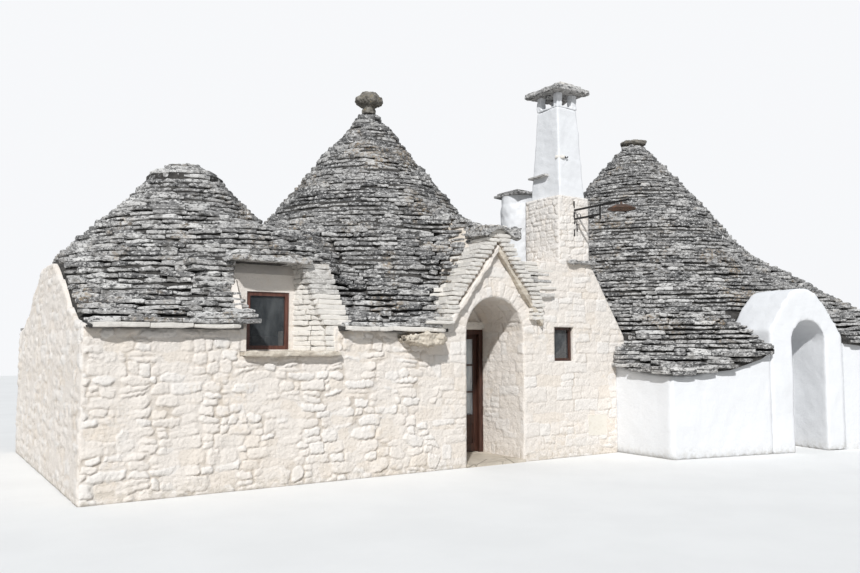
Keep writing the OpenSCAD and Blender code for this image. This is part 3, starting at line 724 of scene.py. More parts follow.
def limeHere(x, y, level):
    # whitewash that was brushed on past the walls
    depth, wave = roofKeep["limeDepth"]
    if abs(x) < roofKeep["porch"] and y < depth + wave * math.sin(level * 9):
        return 0.92
    low, high = (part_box("dormer_niche")[1][0] + reach for reach in roofKeep["cheek"])
    cheek = low < x < high and y < roofKeep["cheekDepth"] and level < roofKeep["cheekTop"]
    return 0.85 if cheek else 0.0


def laidRoofs():
    names = ("left_roof_slabs", "middle_roof_slabs", "right_roof_slabs", "right_roof_slabs_back")
    piles = [SlabPile(11 + n) for n in range(4)]
    left, middle = (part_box(name)[1][0] for name in ("left_roof", "middle_roof"))
    fine = slabSizes["course"] / 8
    lowest, highest = np.nanmin(roofHeight), np.nanmax(roofHeight)
    for step in range(int(lowest / fine), int(highest / fine) + 1):
        level = step * fine
        for line in contour(roofHeight - level):
            loop = np.ptp(line, axis=0).min() if np.allclose(line[0], line[-1]) else 9
            points = evenly(line, 0.03)
            if points is None:
                continue
            points = calmed(points)
            x, y = points.T
            steep = np.hypot(sample(slopeX, x, y), sample(slopeY, x, y))
            ahead = unit(np.diff(points, axis=0))
            side = np.select([x < left, x < middle, y < slabSizes["backFrom"]], [0, 1, 2], 3)
            parted = np.diff(side, prepend=side[0]) != 0
            parted[1:-1] |= 1 - np.sum(ahead[1:] * ahead[:-1], axis=1) > slabSizes["turn"]
            for first, last in stretches(steep < slabSizes["flat"][step % 8], parted):
                part = points[first:last + 1]
                small = max(0.10, 0.45 * math.hypot(*np.ptp(part, axis=0)))
                lengths = [min(length, small * share)
                           for length, share in zip(slabSizes["length"], (1, 1.6))]
                layRun(piles[side[first]], part, level, lengths, limeHere, noSlabHere,
                       deepest=0.38 * loop, paler=slabSizes["paler"][side[first]])
    for name, pile in zip(names, piles):
        pile.build(name)


laidRoofs()


# eaves and verges: long pale slabs along the edges

edgeLook = {"course": 0.062, "fill": (0.76, 0.97), "length": (0.26, 0.66), "depth": 0.40,
            "out": (0.050, 0.085), "stepBack": 0.018, "inset": 0.09, "paler": 0.30, "lime": 0.9,
            "bend": 0.2, "front": -0.07,
            "gaps": ((-3.62, -2.80), (-0.90, 99))}
vergeLook = {"course": 0.062, "reach": (0.05, 0.19), "front": -0.105, "depth": 0.42, "cut": 0.06}
bay = {"corner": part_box("white_corner_wall")[0][0], "face": -1.11, "turn": 12, "over": 0.06,
       "end": -1.25}
gableLow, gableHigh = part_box("white_gable_wall")


def openEdge(x, y):
    # true where a roof's rim is an eave
    front = y < edgeLook["front"]
    for low, high in edgeLook["gaps"]:
        front &= (x < low) | (x > high)
    corner = np.abs(x - bay["corner"] + bay["over"]) < 0.07
    corner &= (y < 0.02) & (y > bay["end"])
    face = bay["face"] - math.tan(math.radians(bay["turn"])) * (x - bay["corner"])
    wall = (x > bay["corner"] - 0.1) & (np.abs(y - face + bay["over"]) < 0.09)
    wall &= (x < gableLow[0] + 0.10) | (x > gableHigh[0] - 0.10)
    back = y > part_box("back_wall_left")[1][1] + 0.03
    return (front | corner | wall | back) & (x > cadBox[0][0] + 0.03) & (x < cadBox[1][0] - 0.03)


def laidEaves():
    pile = SlabPile(15)
    known = ~np.isnan(bareUnder)
    share = softened(np.ones(known.shape), known, 1.0)[1]
    towards = np.gradient(share, roofGrid["step"])
    for line in contour(share - 0.5):
        points = calmed(evenly(line, 0.04), 3)
        normal = unit(-np.stack([sample(t, *points.T) for t in towards], 1))
        inner = points - normal * edgeLook["inset"]
        top, low = (sample(np.nan_to_num(field), *inner.T) for field in (roofHeight, bareUnder))
        keep = openEdge(*points.T) & (top > low) & (low > 0.5)
        bend = 1 - np.sum(normal * np.roll(normal, 1, 0), axis=1)
        for first, last in stretches(keep, bend > edgeLook["bend"]):
            part = slice(first, last + 1)
            rise, course = top[part] - low[part], edgeLook["course"]
            atFront = -0.3 < points[first][1] < 0
            for k in range(max(2, round(float(rise.max()) / course))):
                tall = (rise > course * (k + 0.4)) | (k < 2)
                cuts = np.flatnonzero(np.diff(tall.astype(int))) + 1
                for cells in np.split(np.arange(len(rise)), cuts):
                    if not tall[cells[0]] or len(cells) < 3:
                        continue
                    layRun(pile, points[part][cells], low[part][cells] + course * k,
                           edgeLook["length"], edgeLook["lime"] if atFront and k == 0 else 0.0,
                           depth=edgeLook["depth"],
                           thick=[share * course for share in edgeLook["fill"]],
                           out=np.array(edgeLook["out"]) - edgeLook["stepBack"] * min(k, 3),
                           paler=edgeLook["paler"] if atFront else 0.0,
                           outward=normal[part].mean(0))
    pile.build("eave_slabs")


def laidVerges():
    pile = SlabPile(16)
    rng = pile.rng
    edge = roofHeight[:, round((vergeLook["cut"] - gridY[0]) / roofGrid["step"])]
    low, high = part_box("porch_roof")
    near = np.nonzero((gridX > low[0]) & (gridX < high[0]) & ~np.isnan(edge))[0]
    peak = near[np.argmax(edge[near])]
    past, inward = vergeLook["reach"]
    front, course = vergeLook["front"], vergeLook["course"]
    for side, cells in ((-1, near[near <= peak]), (1, near[near >= peak][::-1])):
        level = low[2] - 0.02
        while level < edge[peak] - 0.02:
            x = np.interp(level, edge[cells], gridX[cells])
            pile.bar((x + side * past * rng.uniform(0.2, 1.2), front), (x - side * inward, front),
                     toFront, level, course * rng.uniform(0.78, 0.95),
                     vergeLook["depth"] * rng.uniform(0.8, 1.1), rng.uniform(-0.02, 0.02),
                     rng.uniform(0.5, 0.9), rng.uniform(0.75, 1.0))
            level += course
    pile.build("porch_verge_slabs")


laidEaves()
laidVerges()


def lowerBed(name):
    # the roof's own solid with its outer face let down below the slabs
    mesh = nodes[name].data
    place = vertexData(mesh, "co")
    tree = rayTree(mesh)
    top = np.zeros(len(place), bool)
    for k, corner in enumerate(place):
        hit = tree.ray_cast(Vector((corner[0], corner[1], 9)), Vector((0, 0, -1)))[0]
        top[k] = hit is None or abs(hit[2] - corner[2]) < 0.012
    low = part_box(name)[0][2] + 0.02
    top &= place[:, 2] > low + slabSizes["under"]
    place[top, 2] -= slabSizes["under"]
    faces = [tuple(p.vertices) for p in mesh.polygons]
    piece = buildPiece(name + "_bed", place, [], "roof_stone", {"tone": np.zeros(len(place))},
                       smooth=False, triangles=[f for f in faces if len(f) == 3])
    # the roof beds take the near-black painted shade; the porch bed stays whitewashed
    repaint(piece, finishes["whitewash_stone"] if name == "porch_roof" else bedPaintedShade)
    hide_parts(name)


for name in ("left_roof", "middle_roof", "right_roof", "dormer_hood", "porch_roof"):
    lowerBed(name)
print("roof beds laid")


# dormer: slab ends on its left, whitewashed stones on its right

# edges are x, level and slope of a line seen from the front
dormerLook = {"left": (-3.61, 2.04, -0.41), "right": (-2.66, 1.88, -0.31), "course": 0.066,
              "start": 1.95, "besideX": -3.98, "deepest": 0.45, "greyDepth": 0.34,
              "jamb": (-2.965, 0.465), "splay": 0.25, "whiteDepth": 0.30, "stepDepth": 0.40,
              "limeTop": 2.3, "lintels": ((-3.88, -3.26, 0.02), (-3.28, -2.84, 0.03)),
              "lintelY": 0.13, "lintelThick": 0.075, "lintelDepth": 0.50}


def surfaceY(x, level):
    # where the roof field reaches a level, counted from the front
    column = roofHeight[round((x - gridX[0]) / roofGrid["step"])]
    known = np.nonzero(~np.isnan(column) & (gridY < 2.2))[0]
    above = known[column[known] > level]
    return gridY[above[0]] if len(above) else 0.6


def sloped(edge, level):
    x, start, slope = edge
    return x + slope * (max(level, start) - start)


def laidDormer():
    look = dormerLook
    grey, white, lintel = (SlabPile(seed) for seed in (17, 18, 19))
    rng, course = grey.rng, look["course"]
    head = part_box("dormer_hood")[0][2]
    level = look["start"]
    while level < head - 0.02:
        end = sloped(look["left"], level) + rng.normal(0, 0.02)
        y = min(surfaceY(look["besideX"], level), look["deepest"])
        grey.bar((end - rng.uniform(0.32, 0.50), y), (end, y), toFront, level,
                 rng.uniform(0.046, 0.062), look["greyDepth"], rng.uniform(-0.005, 0.03),
                 np.clip(rng.beta(2.2, 2.4) + 0.15, 0, 0.98), 0.0, square=False)
        level += course
    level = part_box("dormer_sill")[1][2]
    jamb = np.array(look["jamb"])
    while level < head - 0.01:
        x = sloped(look["right"], level) + rng.normal(0, 0.012)
        y = max(0.015, look["splay"] * (level - look["right"][1]))
        way = np.array((x, y)) - jamb
        across = np.array((way[1], -way[0])) / np.linalg.norm(way)
        parting = rng.uniform(0.4, 0.6)
        for first, last in ((0, parting), (parting, 1)):
            white.bar(jamb + first * way, jamb + (last - 0.02) * way, across, level,
                      course * rng.uniform(0.93, 1.0), look["whiteDepth"],
                      rng.uniform(-0.012, 0.012), rng.uniform(0.5, 0.9), 1.0)
        # the end that steps under the roof slabs
        white.bar((x - 0.05, y), (x + 0.34, y), toFront, level, course * rng.uniform(0.90, 1.0),
                  look["stepDepth"], rng.uniform(-0.01, 0.015), rng.uniform(0.5, 0.9),
                  1.0 if level < look["limeTop"] else 0.45)
        level += course
    for start, end, out in look["lintels"]:
        lintel.bar((start, look["lintelY"]), (end, look["lintelY"]), toFront, head + 0.002,
                   look["lintelThick"], look["lintelDepth"], out, 0.75, 0.0, square=False)
    grey.build("dormer_side_slabs")
    white.build("dormer_cheek_stones")
    lintel.build("dormer_lintel_slabs")


laidDormer()


# stones and plaster: the nodes' own shapes, softened and roughened

# voxel size, smoothing rounds, then the waves' length and depth
smallWaves = (1, ((0.25, 0.010), (0.06, 0.004)))
ribWaves = (1, ((0.30, 0.010), (0.07, 0.004)))
weather = {
    "gable_cap_slab": (0.016, 2, ((0.30, 0.016), (0.07, 0.006))),
    "chimney_cap": (0.014, *smallWaves),
    "ledge_slab": (0.012, *smallWaves),
    "dormer_sill": (0.013, 1, ((0.35, 0.008), (0.07, 0.003))),
    "projecting_slab": (0.012, 2, ((0.22, 0.022), (0.06, 0.010))),
    "gable_rib_left": (0.014, *ribWaves),
    "gable_rib_right": (0.014, *ribWaves),
    "middle_finial": (0.012, 1, ((0.20, 0.010), (0.06, 0.006))),
    "right_finial": (0.012, 1, ((0.20, 0.014), (0.06, 0.006))),
    "white_corner_wall": (0.040, 1, ((1.1, 0.007), (0.30, 0.002))),
    "white_gable_wall": (0.030, 2, ((0.9, 0.007), (0.25, 0.002))),
    "chimney_shaft": (0.018, 2, ((0.5, 0.005), (0.15, 0.0015))),
    "chimney_vent": (0.012, 1, ((0.20, 0.006), (0.06, 0.003))),
    "flue_shoulder": (0.022, 2, ((0.5, 0.010), (0.15, 0.004))),
}
slim = {"ribTop": 3.19, "ribSlope": 1.33, "gable_rib_left": 0.40, "gable_rib_right": 0.46,
        "cap": 0.44, "finial": (0.74, 0.8), "slab": (0.10, 0.05, -0.03),
        "flue": {"from": 3.5, "core": 0.12, "reach": 0.29, "top": 4.22}}


def thinned(name, points):
    # some of the solids keep their tops and lose depth below
    low, high = (np.array(corner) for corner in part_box(name))
    middle = (low + high) / 2
    x, y, z = points.T
    if name in slim:
        top = slim["ribTop"] - slim["ribSlope"] * np.abs(x)
        z[:] = top - np.maximum(top - z, 0) * slim[name]
    elif name == "gable_cap_slab":
        z[:] = high[2] - (high[2] - z) * slim["cap"]
    elif name == "right_finial":
        across, upward = slim["finial"]
        points[:, :2] = middle[:2] + (points[:, :2] - middle[:2]) * across
        z[:] = low[2] + (z - low[2]) * upward
    elif name == "projecting_slab":
        front, foot, crown = slim["slab"]
        away = np.abs(x - middle[0]) / (high[0] - low[0]) * 2
        y += np.where(y < middle[1], front * away ** 3, 0)
        z += np.where(z < middle[2], foot, crown) * away ** 2
    elif name == "flue_shoulder":
        flue = slim["flue"]
        aside = points[:, :2] - middle[:2]
        reach = np.linalg.norm(aside, axis=1)
        grow = np.where((z > flue["from"]) & (reach > flue["core"]),
                        np.maximum(flue["reach"] / reach, 1), 1)
        points[:, :2] = middle[:2] + aside * grow[:, None]
        z[:] = np.minimum(z, flue["top"])
    return points


def weathered(name, cell, rounds, waves):
    draft = bpy.data.objects.new("draft", nodes[name].data.copy())
    scene.collection.objects.link(draft)
    remesh = draft.modifiers.new("remesh", "REMESH")
    remesh.mode = "VOXEL"
    remesh.voxel_size = cell
    calm = draft.modifiers.new("calm", "SMOOTH")
    calm.iterations = rounds
    graph = bpy.context.evaluated_depsgraph_get()
    mesh = bpy.data.meshes.new_from_object(draft.evaluated_get(graph))
    normals = vertexData(mesh, "normal")
    points = thinned(name, vertexData(mesh, "co"))
    seed = sum(map(ord, name))
    push = sum(depth * ripple(points, scale, seed + k, 14)
               for k, (scale, depth) in enumerate(waves))
    points += normals * push[:, None]
    points[:, 2] = np.maximum(points[:, 2], 0.0)
    piece = buildPiece(name + "_rough", points, [tuple(p.vertices) for p in mesh.polygons],
                       slots[name],
                       {"relief": np.ones(len(points)), "tone": np.full(len(points), 0.6)})
    if name == "gable_rib_left":
        repaint(piece, finishes["whitewash_stone"])
    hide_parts(name)
    bpy.data.objects.remove(draft)
    bpy.data.meshes.remove(mesh)


for name, values in weather.items():
    weathered(name, *values)
print("stones and plaster weathered")


# loose slabs and small iron

loose = {
    # start, end, outward, level, thick, depth, tone, lime
    "chimney_cap_stones": [((1.50, 0.22), (1.63, 0.20), (0, -1), 5.862, 0.062, 0.14, 0.9, 0.8),
                           ((1.60, 0.16), (1.86, 0.14), (0, -1), 5.845, 0.035, 0.20, 0.9, 0.3),
                           ((1.56, 0.19), (1.74, 0.17), (0, -1), 5.880, 0.024, 0.15, 0.7, 0.2)],
    "shaft_ledge": [((1.285, 0.70), (1.285, 0.29), (-1, 0), 4.385, 0.034, 0.10, 0.8, 0.2)],
    "shaft_hook_stone": [((1.315, 0.13), (1.43, 0.035), (-0.64, -0.77), 4.635, 0.048, 0.10, 0.9,
                          1.0)],
    "flue_slabs": [((1.24, 1.00), (1.56, 1.00), (0, -1), 4.215, 0.040, 0.60, 0.4, 0.0),
                   ((1.52, 1.02), (1.86, 1.02), (0, -1), 4.215, 0.045, 0.58, 0.5, 0.0),
                   ((1.28, 1.06), (1.62, 1.06), (0, -1), 4.256, 0.034, 0.50, 0.25, 0.0),
                   ((1.50, 1.10), (1.80, 1.10), (0, -1), 4.260, 0.030, 0.44, 0.3, 0.0)],
    "eave_end_slabs": [((-1.30, -0.13), (-0.84, -0.13), (0, -1), 1.985, 0.045, 0.25, 0.8, 0.9),
                       ((-1.14, -0.11), (-0.86, -0.11), (0, -1), 2.032, 0.050, 0.22, 0.6, 0.6),
                       ((-1.20, -0.08), (-0.88, -0.08), (0, -1), 1.925, 0.058, 0.20, 0.6, 0.9)],
    "porch_side_slab": [((0.69, -0.02), (1.10, -0.02), (0, -1), 2.425, 0.065, 0.30, 0.7, 0.6)],
    "door_niche_slab": [((0.26, 0.985), (0.48, 0.985), (0, -1), 2.262, 0.030, 0.05, 0.3, 0.3)],
    "lintel_stone": [((-0.52, 0.985), (0.52, 0.985), (0, -1), 1.955, 0.115, 0.05, 0.8, 1.0)],
}
shingleLook = {"levels": (2.49, 2.93), "course": 0.052, "right": (0.98, 1.20), "lean": 0.25,
               "y": 0.03, "depth": 0.45, "bare": (2.60, 2.80)}


def laidLoose():
    for n, (name, slabs) in enumerate(loose.items()):
        pile = SlabPile(50 + n)
        for start, end, outward, level, thick, depth, tone, lime in slabs:
            pile.bar(start, end, np.array(outward) / np.linalg.norm(outward), level, thick, depth,
                     0.05, tone, lime)
        pile.build(name)
    look = shingleLook
    pile = SlabPile(60)
    rng = pile.rng
    level, until = look["levels"]
    first, last = look["bare"]
    while level < until:
        left = (3.30 - level) / slim["ribSlope"]
        right = rng.uniform(*look["right"]) - look["lean"] * (level - look["levels"][0])
        pile.bar((left, look["y"]), (max(right, left + 0.1), look["y"]), toFront, level,
                 look["course"] * rng.uniform(0.8, 0.97), look["depth"], rng.uniform(0.02, 0.07),
                 rng.uniform(0.3, 0.8), rng.choice([0.1, 0.5]) if first <= level <= last else 0.95)
        level += look["course"]
    pile.build("stack_foot_shingles")


laidLoose()


def tube(name, path, radius, sides=8, closed=False):
    # round bar along a path
    path = np.array(path, float)
    ahead = np.roll(path, -1, 0) - np.roll(path, 1, 0) if closed else np.gradient(path, axis=0)
    ahead = unit(ahead)
    guide = (1.0, 0.03, 0.02) if abs(ahead[:, 0]).max() < 0.9 else (0.0, 1.0, 0.05)
    first = unit(np.cross(ahead, guide))
    second = np.cross(ahead, first)
    turn = np.linspace(0, 2 * math.pi, sides, endpoint=False)
    ring = (path[:, None] + radius * (np.cos(turn)[None, :, None] * first[:, None]
                                      + np.sin(turn)[None, :, None] * second[:, None]))
    count = len(path)
    quads = []
    for k in range(count if closed else count - 1):
        here, ahead = k * sides, (k + 1) % count * sides
        quads += [(here + t, here + (t + 1) % sides, ahead + (t + 1) % sides, ahead + t)
                  for t in range(sides)]
    points = ring.reshape(-1, 3)
    triangles = []
    if not closed:
        points = np.concatenate([points, path[:1], path[-1:]])
        ends = (count - 1) * sides
        triangles = [(count * sides, (t + 1) % sides, t) for t in range(sides)]
        triangles += [(count * sides + 1, ends + t, ends + (t + 1) % sides) for t in range(sides)]
    return buildPiece(name, points, quads, "black_iron", triangles=triangles or None)


lampLook = {"x": 1.57, "ring": (-0.115, 3.705, 0.040), "thin": 0.0055, "hook": 0.009}


def lampIron():
    x, thin = lampLook["x"], lampLook["thin"]
    cy, cz, reach = lampLook["ring"]
    turn = np.linspace(0, 2 * math.pi, 20, endpoint=False)
    tube("lamp_ring", [(x, cy + reach * math.cos(t), cz + reach * math.sin(t)) for t in turn], thin,
         closed=True)
    tube("lamp_scroll", [(x, cy + 0.035 - 0.030 * math.cos(t) * (1 - 0.09 * t),
                          cz - 0.14 + 0.075 * math.sin(t * 0.5) - 0.02 * t)
                         for t in np.linspace(0, 5.4, 22)], thin)
    tube("lamp_scroll_rod", [(x, cy + 0.04, cz - z) for z in np.linspace(0.03, 0.24, 6)],
         thin * 0.9)
    tube("shaft_hook", [(1.43 + 0.045 * t, 0.03 - 0.02 * t, 4.67 - 0.03 * math.sin(3 * t))
                        for t in np.linspace(0, 1, 7)], lampLook["hook"])


lampIron()


# curtain

curtainLook = {"side": 0.372, "low": 0.635, "high": 1.785, "y": 1.122, "fold": 0.008, "folds": 11,
               "cells": (132, 39)}


def laceCurtain():
    # lace gathered on the leaf's inner side, behind the glass
    look = curtainLook
    xs, zs = (np.linspace(low, high, count + 1) for low, high, count in zip(
        (-look["side"], look["low"]), (look["side"], look["high"]), look["cells"]))
    x, z = np.meshgrid(xs, zs, indexing="ij")
    share = (x + look["side"]) / (2 * look["side"])
    fall = 0.55 + 0.45 * (look["high"] - z) / (look["high"] - look["low"])
    wave = np.sin(share * look["folds"] * 2 * math.pi + 0.5 * np.sin(share * 9))
    y = look["y"] + look["fold"] * wave * fall
    points = np.stack([x, y, z], -1).reshape(-1, 3)
    _, quads = gridOver((0, 0), look["cells"], 1)
    piece = buildPiece("lace_curtain", points, quads, "window_glass", body="door")
    repaint(piece, laceCloth())


# walls: the rims of their flat faces, read from the frame

def rims(names, axis, plane, sign):
    # rim segments of each node's faces in one plane, as (side, height) pairs
    found = []
    for name in names:
        mesh = nodes[name].data
        uses = {}
        for face in mesh.polygons:
            corners = [mesh.vertices[k].co for k in face.vertices]
            if face.normal[axis] * sign < 0.99 or abs(corners[0][axis] - plane) > 0.002:
                continue
            keys = [(round(c[1 - axis], 4), round(c[2], 4)) for c in corners]
            for edge in zip(keys, keys[1:] + keys[:1]):
                key = tuple(sorted(edge))
                uses[key] = uses.get(key, 0) + 1
        found.append(np.array([edge for edge, count in uses.items() if count == 1]))
    return [segments for segments in found if len(segments)]


def within(points, segments):
    # even-odd test against loose rim segments
    inside = np.zeros(len(points), bool)
    for p, q in segments:
        if abs(q[1] - p[1]) > 1e-9:
            crossing = (p[1] > points[:, 1]) != (q[1] > points[:, 1])
            reach = p[0] + (points[:, 1] - p[1]) / (q[1] - p[1]) * (q[0] - p[0])
            inside ^= crossing & (points[:, 0] < reach)
    return inside


def outerPieces(found, size=0.06, probe=0.012):
    # short pieces of the rims that no neighbouring node continues past
    pieces = []
    for k, segments in enumerate(found):
        others = [s for n, s in enumerate(found) if n != k]
        for p, q in segments:
            count = max(1, int(np.linalg.norm(q - p) / size))
            cuts = p + np.linspace(0, 1, count + 1)[:, None] * (q - p)
            middle = (cuts[1:] + cuts[:-1]) / 2
            along = (q - p) / np.linalg.norm(q - p)
            aside = np.array([-along[1], along[0]]) * probe
            own = within(middle + aside, segments)
            outside = middle + np.where(own[:, None], -aside, aside)
            free = ~np.any([within(outside, s) for s in others], axis=0) if others else own | True
            pieces += [(a, b) for a, b, ok in zip(cuts[:-1], cuts[1:], free) if ok]
    return pieces


def rimDistance(points, pieces):
    best = np.full(len(points), 9e9)
    nearest = points.copy()
    for p, q in pieces:
        along = q - p
        share = np.clip((points - p) @ along / (along @ along), 0, 1)
        place = p + share[:, None] * along
        far = np.linalg.norm(points - place, axis=1)
        closer = far < best
        best[closer] = far[closer]
        nearest[closer] = place[closer]
    return best, nearest


# stones in a wall: relief patterns

stoneLook = {
    "rubble": {"rows": (0.09, 0.18), "length": (0.13, 0.40), "warp": 0.022, "slant": 0.13,
               "split": 0.40, "jitter": 0.16, "blunt": (2.2, 5.0), "reach": 1.03, "joint": 0.013,
               "depth": 0.016, "swell": 0.005, "step": 0.005, "lean": 0.012},
    "squared": {"rows": (0.11, 0.21), "length": (0.18, 0.52), "warp": 0.010, "slant": 0.03,
                "split": 0.22, "jitter": 0.06, "blunt": (4.0, 8.0), "reach": 1.08, "joint": 0.009,
                "depth": 0.008, "swell": 0.003, "step": 0.003, "lean": 0.006},
    "small": {"rows": (0.06, 0.12), "length": (0.10, 0.30), "warp": 0.014, "slant": 0.08,
              "split": 0.1, "jitter": 0.12, "blunt": (3.0, 6.0), "reach": 1.05, "joint": 0.010,
              "depth": 0.009, "swell": 0.003, "step": 0.004, "lean": 0.007, "pale": 0.7},
    "ring": {"reach": (0.15, 0.25), "count": 17, "joint": 0.012, "depth": 0.008, "swell": 0.004,
             "step": 0.004},
    "lift": 0.004, "fineWave": 0.0015, "flush": 0.7, "hair": 0.0018, "fade": 0.03,
}


def soft(value, low, high):
    t = np.clip((value - low) / (high - low), 0, 1)
    return t * t * (3 - 2 * t)


def faceHeight(at, gap, tone, look, seed, lean=0.0):
    # how far a stone stands out, from its distance to the joint
    face = soft(gap, 0.001, look["joint"])
    showing = 0.25 + 0.75 * soft(ripple(at, stoneLook["flush"], seed + 5) + (tone - 0.5), -0.9, 0.4)
    height = look["depth"] * face + look["swell"] * (1 - np.exp(-gap / 0.030))
    height = height * showing + look["step"] * (2 * tone - 1) * face
    height = height + lean * face * showing
    waves = 1.3 * ripple(at, 0.17, seed + 6) + ripple(at, 0.07, seed + 8, 14)
    height += stoneLook["fineWave"] * (waves + 0.8 * ripple(at, 0.040, seed + 9, 18))
    return height, 1 - (1 - face) * showing


def laidStones(a, b, look, seed):
    # rough courses of rounded stones; the nearest one owns a point
    rng = np.random.default_rng(seed)
    at = np.stack([a, b], 1)
    warp = look["warp"]
    x = a + warp * (ripple(at, 0.50, seed + 1) + 0.30 * ripple(at, 0.09, seed + 3, 14))
    y = b + warp * (ripple(at * (0.7, 1.5), 0.50, seed + 2) + 0.30 * ripple(at, 0.08, seed + 4, 14))
    stones = []
    bottom = y.min() - 0.2
    while bottom < y.max() + 0.1:
        height = rng.uniform(*look["rows"])
        left = x.min() - rng.uniform(0.1, 0.4)
        while left < x.max() + 0.1:
            length = rng.uniform(*look["length"]) * (1 if rng.random() < 0.7 else 0.6)
            parted = rng.random() < look["split"] and height > 0.11
            cut = rng.uniform(0.4, 0.6)
            for low, high in ((0, cut), (cut, 1)) if parted else ((0, 1),):
                stones.append((left + length / 2, bottom + height * (low + high) / 2,
                               length / 2, height * (high - low) / 2))
            left += length
        bottom += height
    stones = np.array(stones)
    stones[:, :2] += rng.normal(0, look["jitter"], (len(stones), 2)) * stones[:, 2:]
    stones[:, 2:] *= rng.uniform(0.94, 1.10, (len(stones), 2))
    turn = rng.normal(0, look["slant"], len(stones))
    blunt = rng.uniform(*look["blunt"], len(stones))
    best, second = np.full(len(a), 9.0), np.full(len(a), 9.0)
    owner, lean = np.zeros(len(a), int), np.zeros(len(a))
    push = rng.uniform(-0.3, 1.0, len(stones))
    for k, (cx, cy, hw, hh) in enumerate(stones):
        near = (np.abs(x - cx) < hw * 1.35 + 0.02) & (np.abs(y - cy) < hh * 1.4 + 0.02)
        near = np.nonzero(near)[0]
        u, v = x[near] - cx, y[near] - cy
        u, v = (u + turn[k] * v) / hw, (v - turn[k] * u) / hh
        far = (np.abs(u) ** blunt[k] + np.abs(v) ** blunt[k]) ** (1 / blunt[k])
        won = far < best[near]
        mine = near[won]
        second[mine] = best[mine]
        best[mine], owner[mine] = far[won], k
        lean[mine] = push[k] * (0.5 * u[won] - 0.8 * v[won])
        lost = near[~won]
        second[lost] = np.minimum(second[lost], far[~won])
    size = np.minimum(stones[owner, 2], stones[owner, 3])
    gap = np.maximum(np.minimum((second - best) / 2, look["reach"] - best) * size, 0.0)
    tone = look.get("pale", 0.0) + (1 - look.get("pale", 0.0)) * rng.random(len(stones))[owner]
    height, relief = faceHeight(at, gap, tone, look, seed, lean * look["lean"])
    return height, relief, tone


def arrangeSheet(name, points, quads, settled, bend, heights, marks, open=None, thick=0.035):
    # folds the rim of a sheet back into the wall and builds it
    edges = np.concatenate([quads[:, [k, (k + 1) % 4]] for k in range(4)])
    _, where, count = np.unique(np.sort(edges, axis=1), axis=0, return_index=True,
                                return_counts=True)
    where = where[count == 1]
    if open is not None:
        where = where[~open[edges[where]].all(1)]
    rim, owner = edges[where], where % len(quads)
    rimPoints = np.unique(rim)
    # the fold stands a hair off the wall's own edge
    outward = points[rim].mean(1) - points[quads[owner]].mean(1)
    hair = np.zeros_like(points)
    for k in (0, 1):
        np.add.at(hair, rim[:, k], outward)
    hair *= stoneLook["hair"] / np.maximum(np.linalg.norm(hair, axis=1), 1e-9)[:, None]
    points[rimPoints] = settled[rimPoints] + hair[rimPoints]
    front = bend(points[:, 0], points[:, 1], heights)
    back = bend(points[rimPoints, 0], points[rimPoints, 1], np.full(len(rimPoints), -thick))
    follow = np.zeros(len(points), int)
    follow[rimPoints] = len(points) + np.arange(len(rimPoints))
    skirt = np.stack([rim[:, 1], rim[:, 0], follow[rim[:, 0]], follow[rim[:, 1]]], 1)
    for mark in marks:
        marks[mark] = np.concatenate([marks[mark], marks[mark][rimPoints]])
    used = np.zeros(len(points) + len(rimPoints), bool)
    allQuads = np.concatenate([quads, skirt])
    used[allQuads] = True
    renumber = np.cumsum(used) - 1
    vertices = np.concatenate([front, back])[used]
    marks = {mark: values[used] for mark, values in marks.items()}
    return buildPiece(name, vertices, renumber[allQuads], "whitewash_stone", marks)


def gridOver(low, high, cell):
    us = np.linspace(low[0], high[0], max(2, round((high[0] - low[0]) / cell)) + 1)
    vs = np.linspace(low[1], high[1], max(2, round((high[1] - low[1]) / cell)) + 1)
    grid = np.stack(np.meshgrid(us, vs, indexing="ij"), -1).reshape(-1, 2)
    i, j = np.meshgrid(np.arange(len(us) - 1), np.arange(len(vs) - 1), indexing="ij")
    corner = (i * len(vs) + j).ravel()
    quads = np.stack([corner, corner + len(vs), corner + len(vs) + 1, corner + 1], 1)
    return grid, quads


def stoneSheet(name, names, axis, end, pattern, cell=0.0125, span=(-99, 99)):
    # a sheet of stones over the flat faces that nodes have in the first one's end plane
    plane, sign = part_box(names[0])[end][axis], 2 * end - 1
    found = rims(names, axis, plane, sign)
    ends = np.concatenate([s.reshape(-1, 2) for s in found])
    grid, quads = gridOver(ends.min(0), ends.max(0), cell)
    inside = np.any([within(grid[quads].mean(1), s) for s in found], axis=0)
    middle = grid[quads, 0].mean(1)
    quads = quads[inside & (middle > span[0]) & (middle < span[1])]
    distance, nearest = rimDistance(grid, outerPieces(found))
    far = distance > cell * 1.6
    nearest = np.where(far[:, None], grid, nearest)
    height, relief, tone = pattern(*grid.T)
    edge = soft(distance, 0, stoneLook["fade"])
    height = stoneLook["lift"] + np.maximum(height, -0.002) * (0.25 + 0.75 * edge)

    def bend(u, v, h):
        out = np.zeros((len(u), 3))
        out[:, axis] = plane + sign * h
        out[:, 1 - axis] = u
        out[:, 2] = v
        return out

    if axis == end:
        quads = quads[:, ::-1]
    piece = arrangeSheet(name, grid, quads, nearest, bend, height,
                         {"relief": relief, "tone": tone}, far)
    print(name, len(piece.data.polygons), "faces")


def walls(look, seed):
    return lambda u, v: laidStones(u, v, stoneLook[look], seed)


leftPier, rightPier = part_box("porch_left_pier"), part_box("porch_right_pier")
mouth = {"radius": rightPier[0][0], "spring": rightPier[1][2], "depth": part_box("door_frame")[0][1]}
change = {"fromPier": 0.25, "wave": (0.10, 7), "overStack": 0.05}


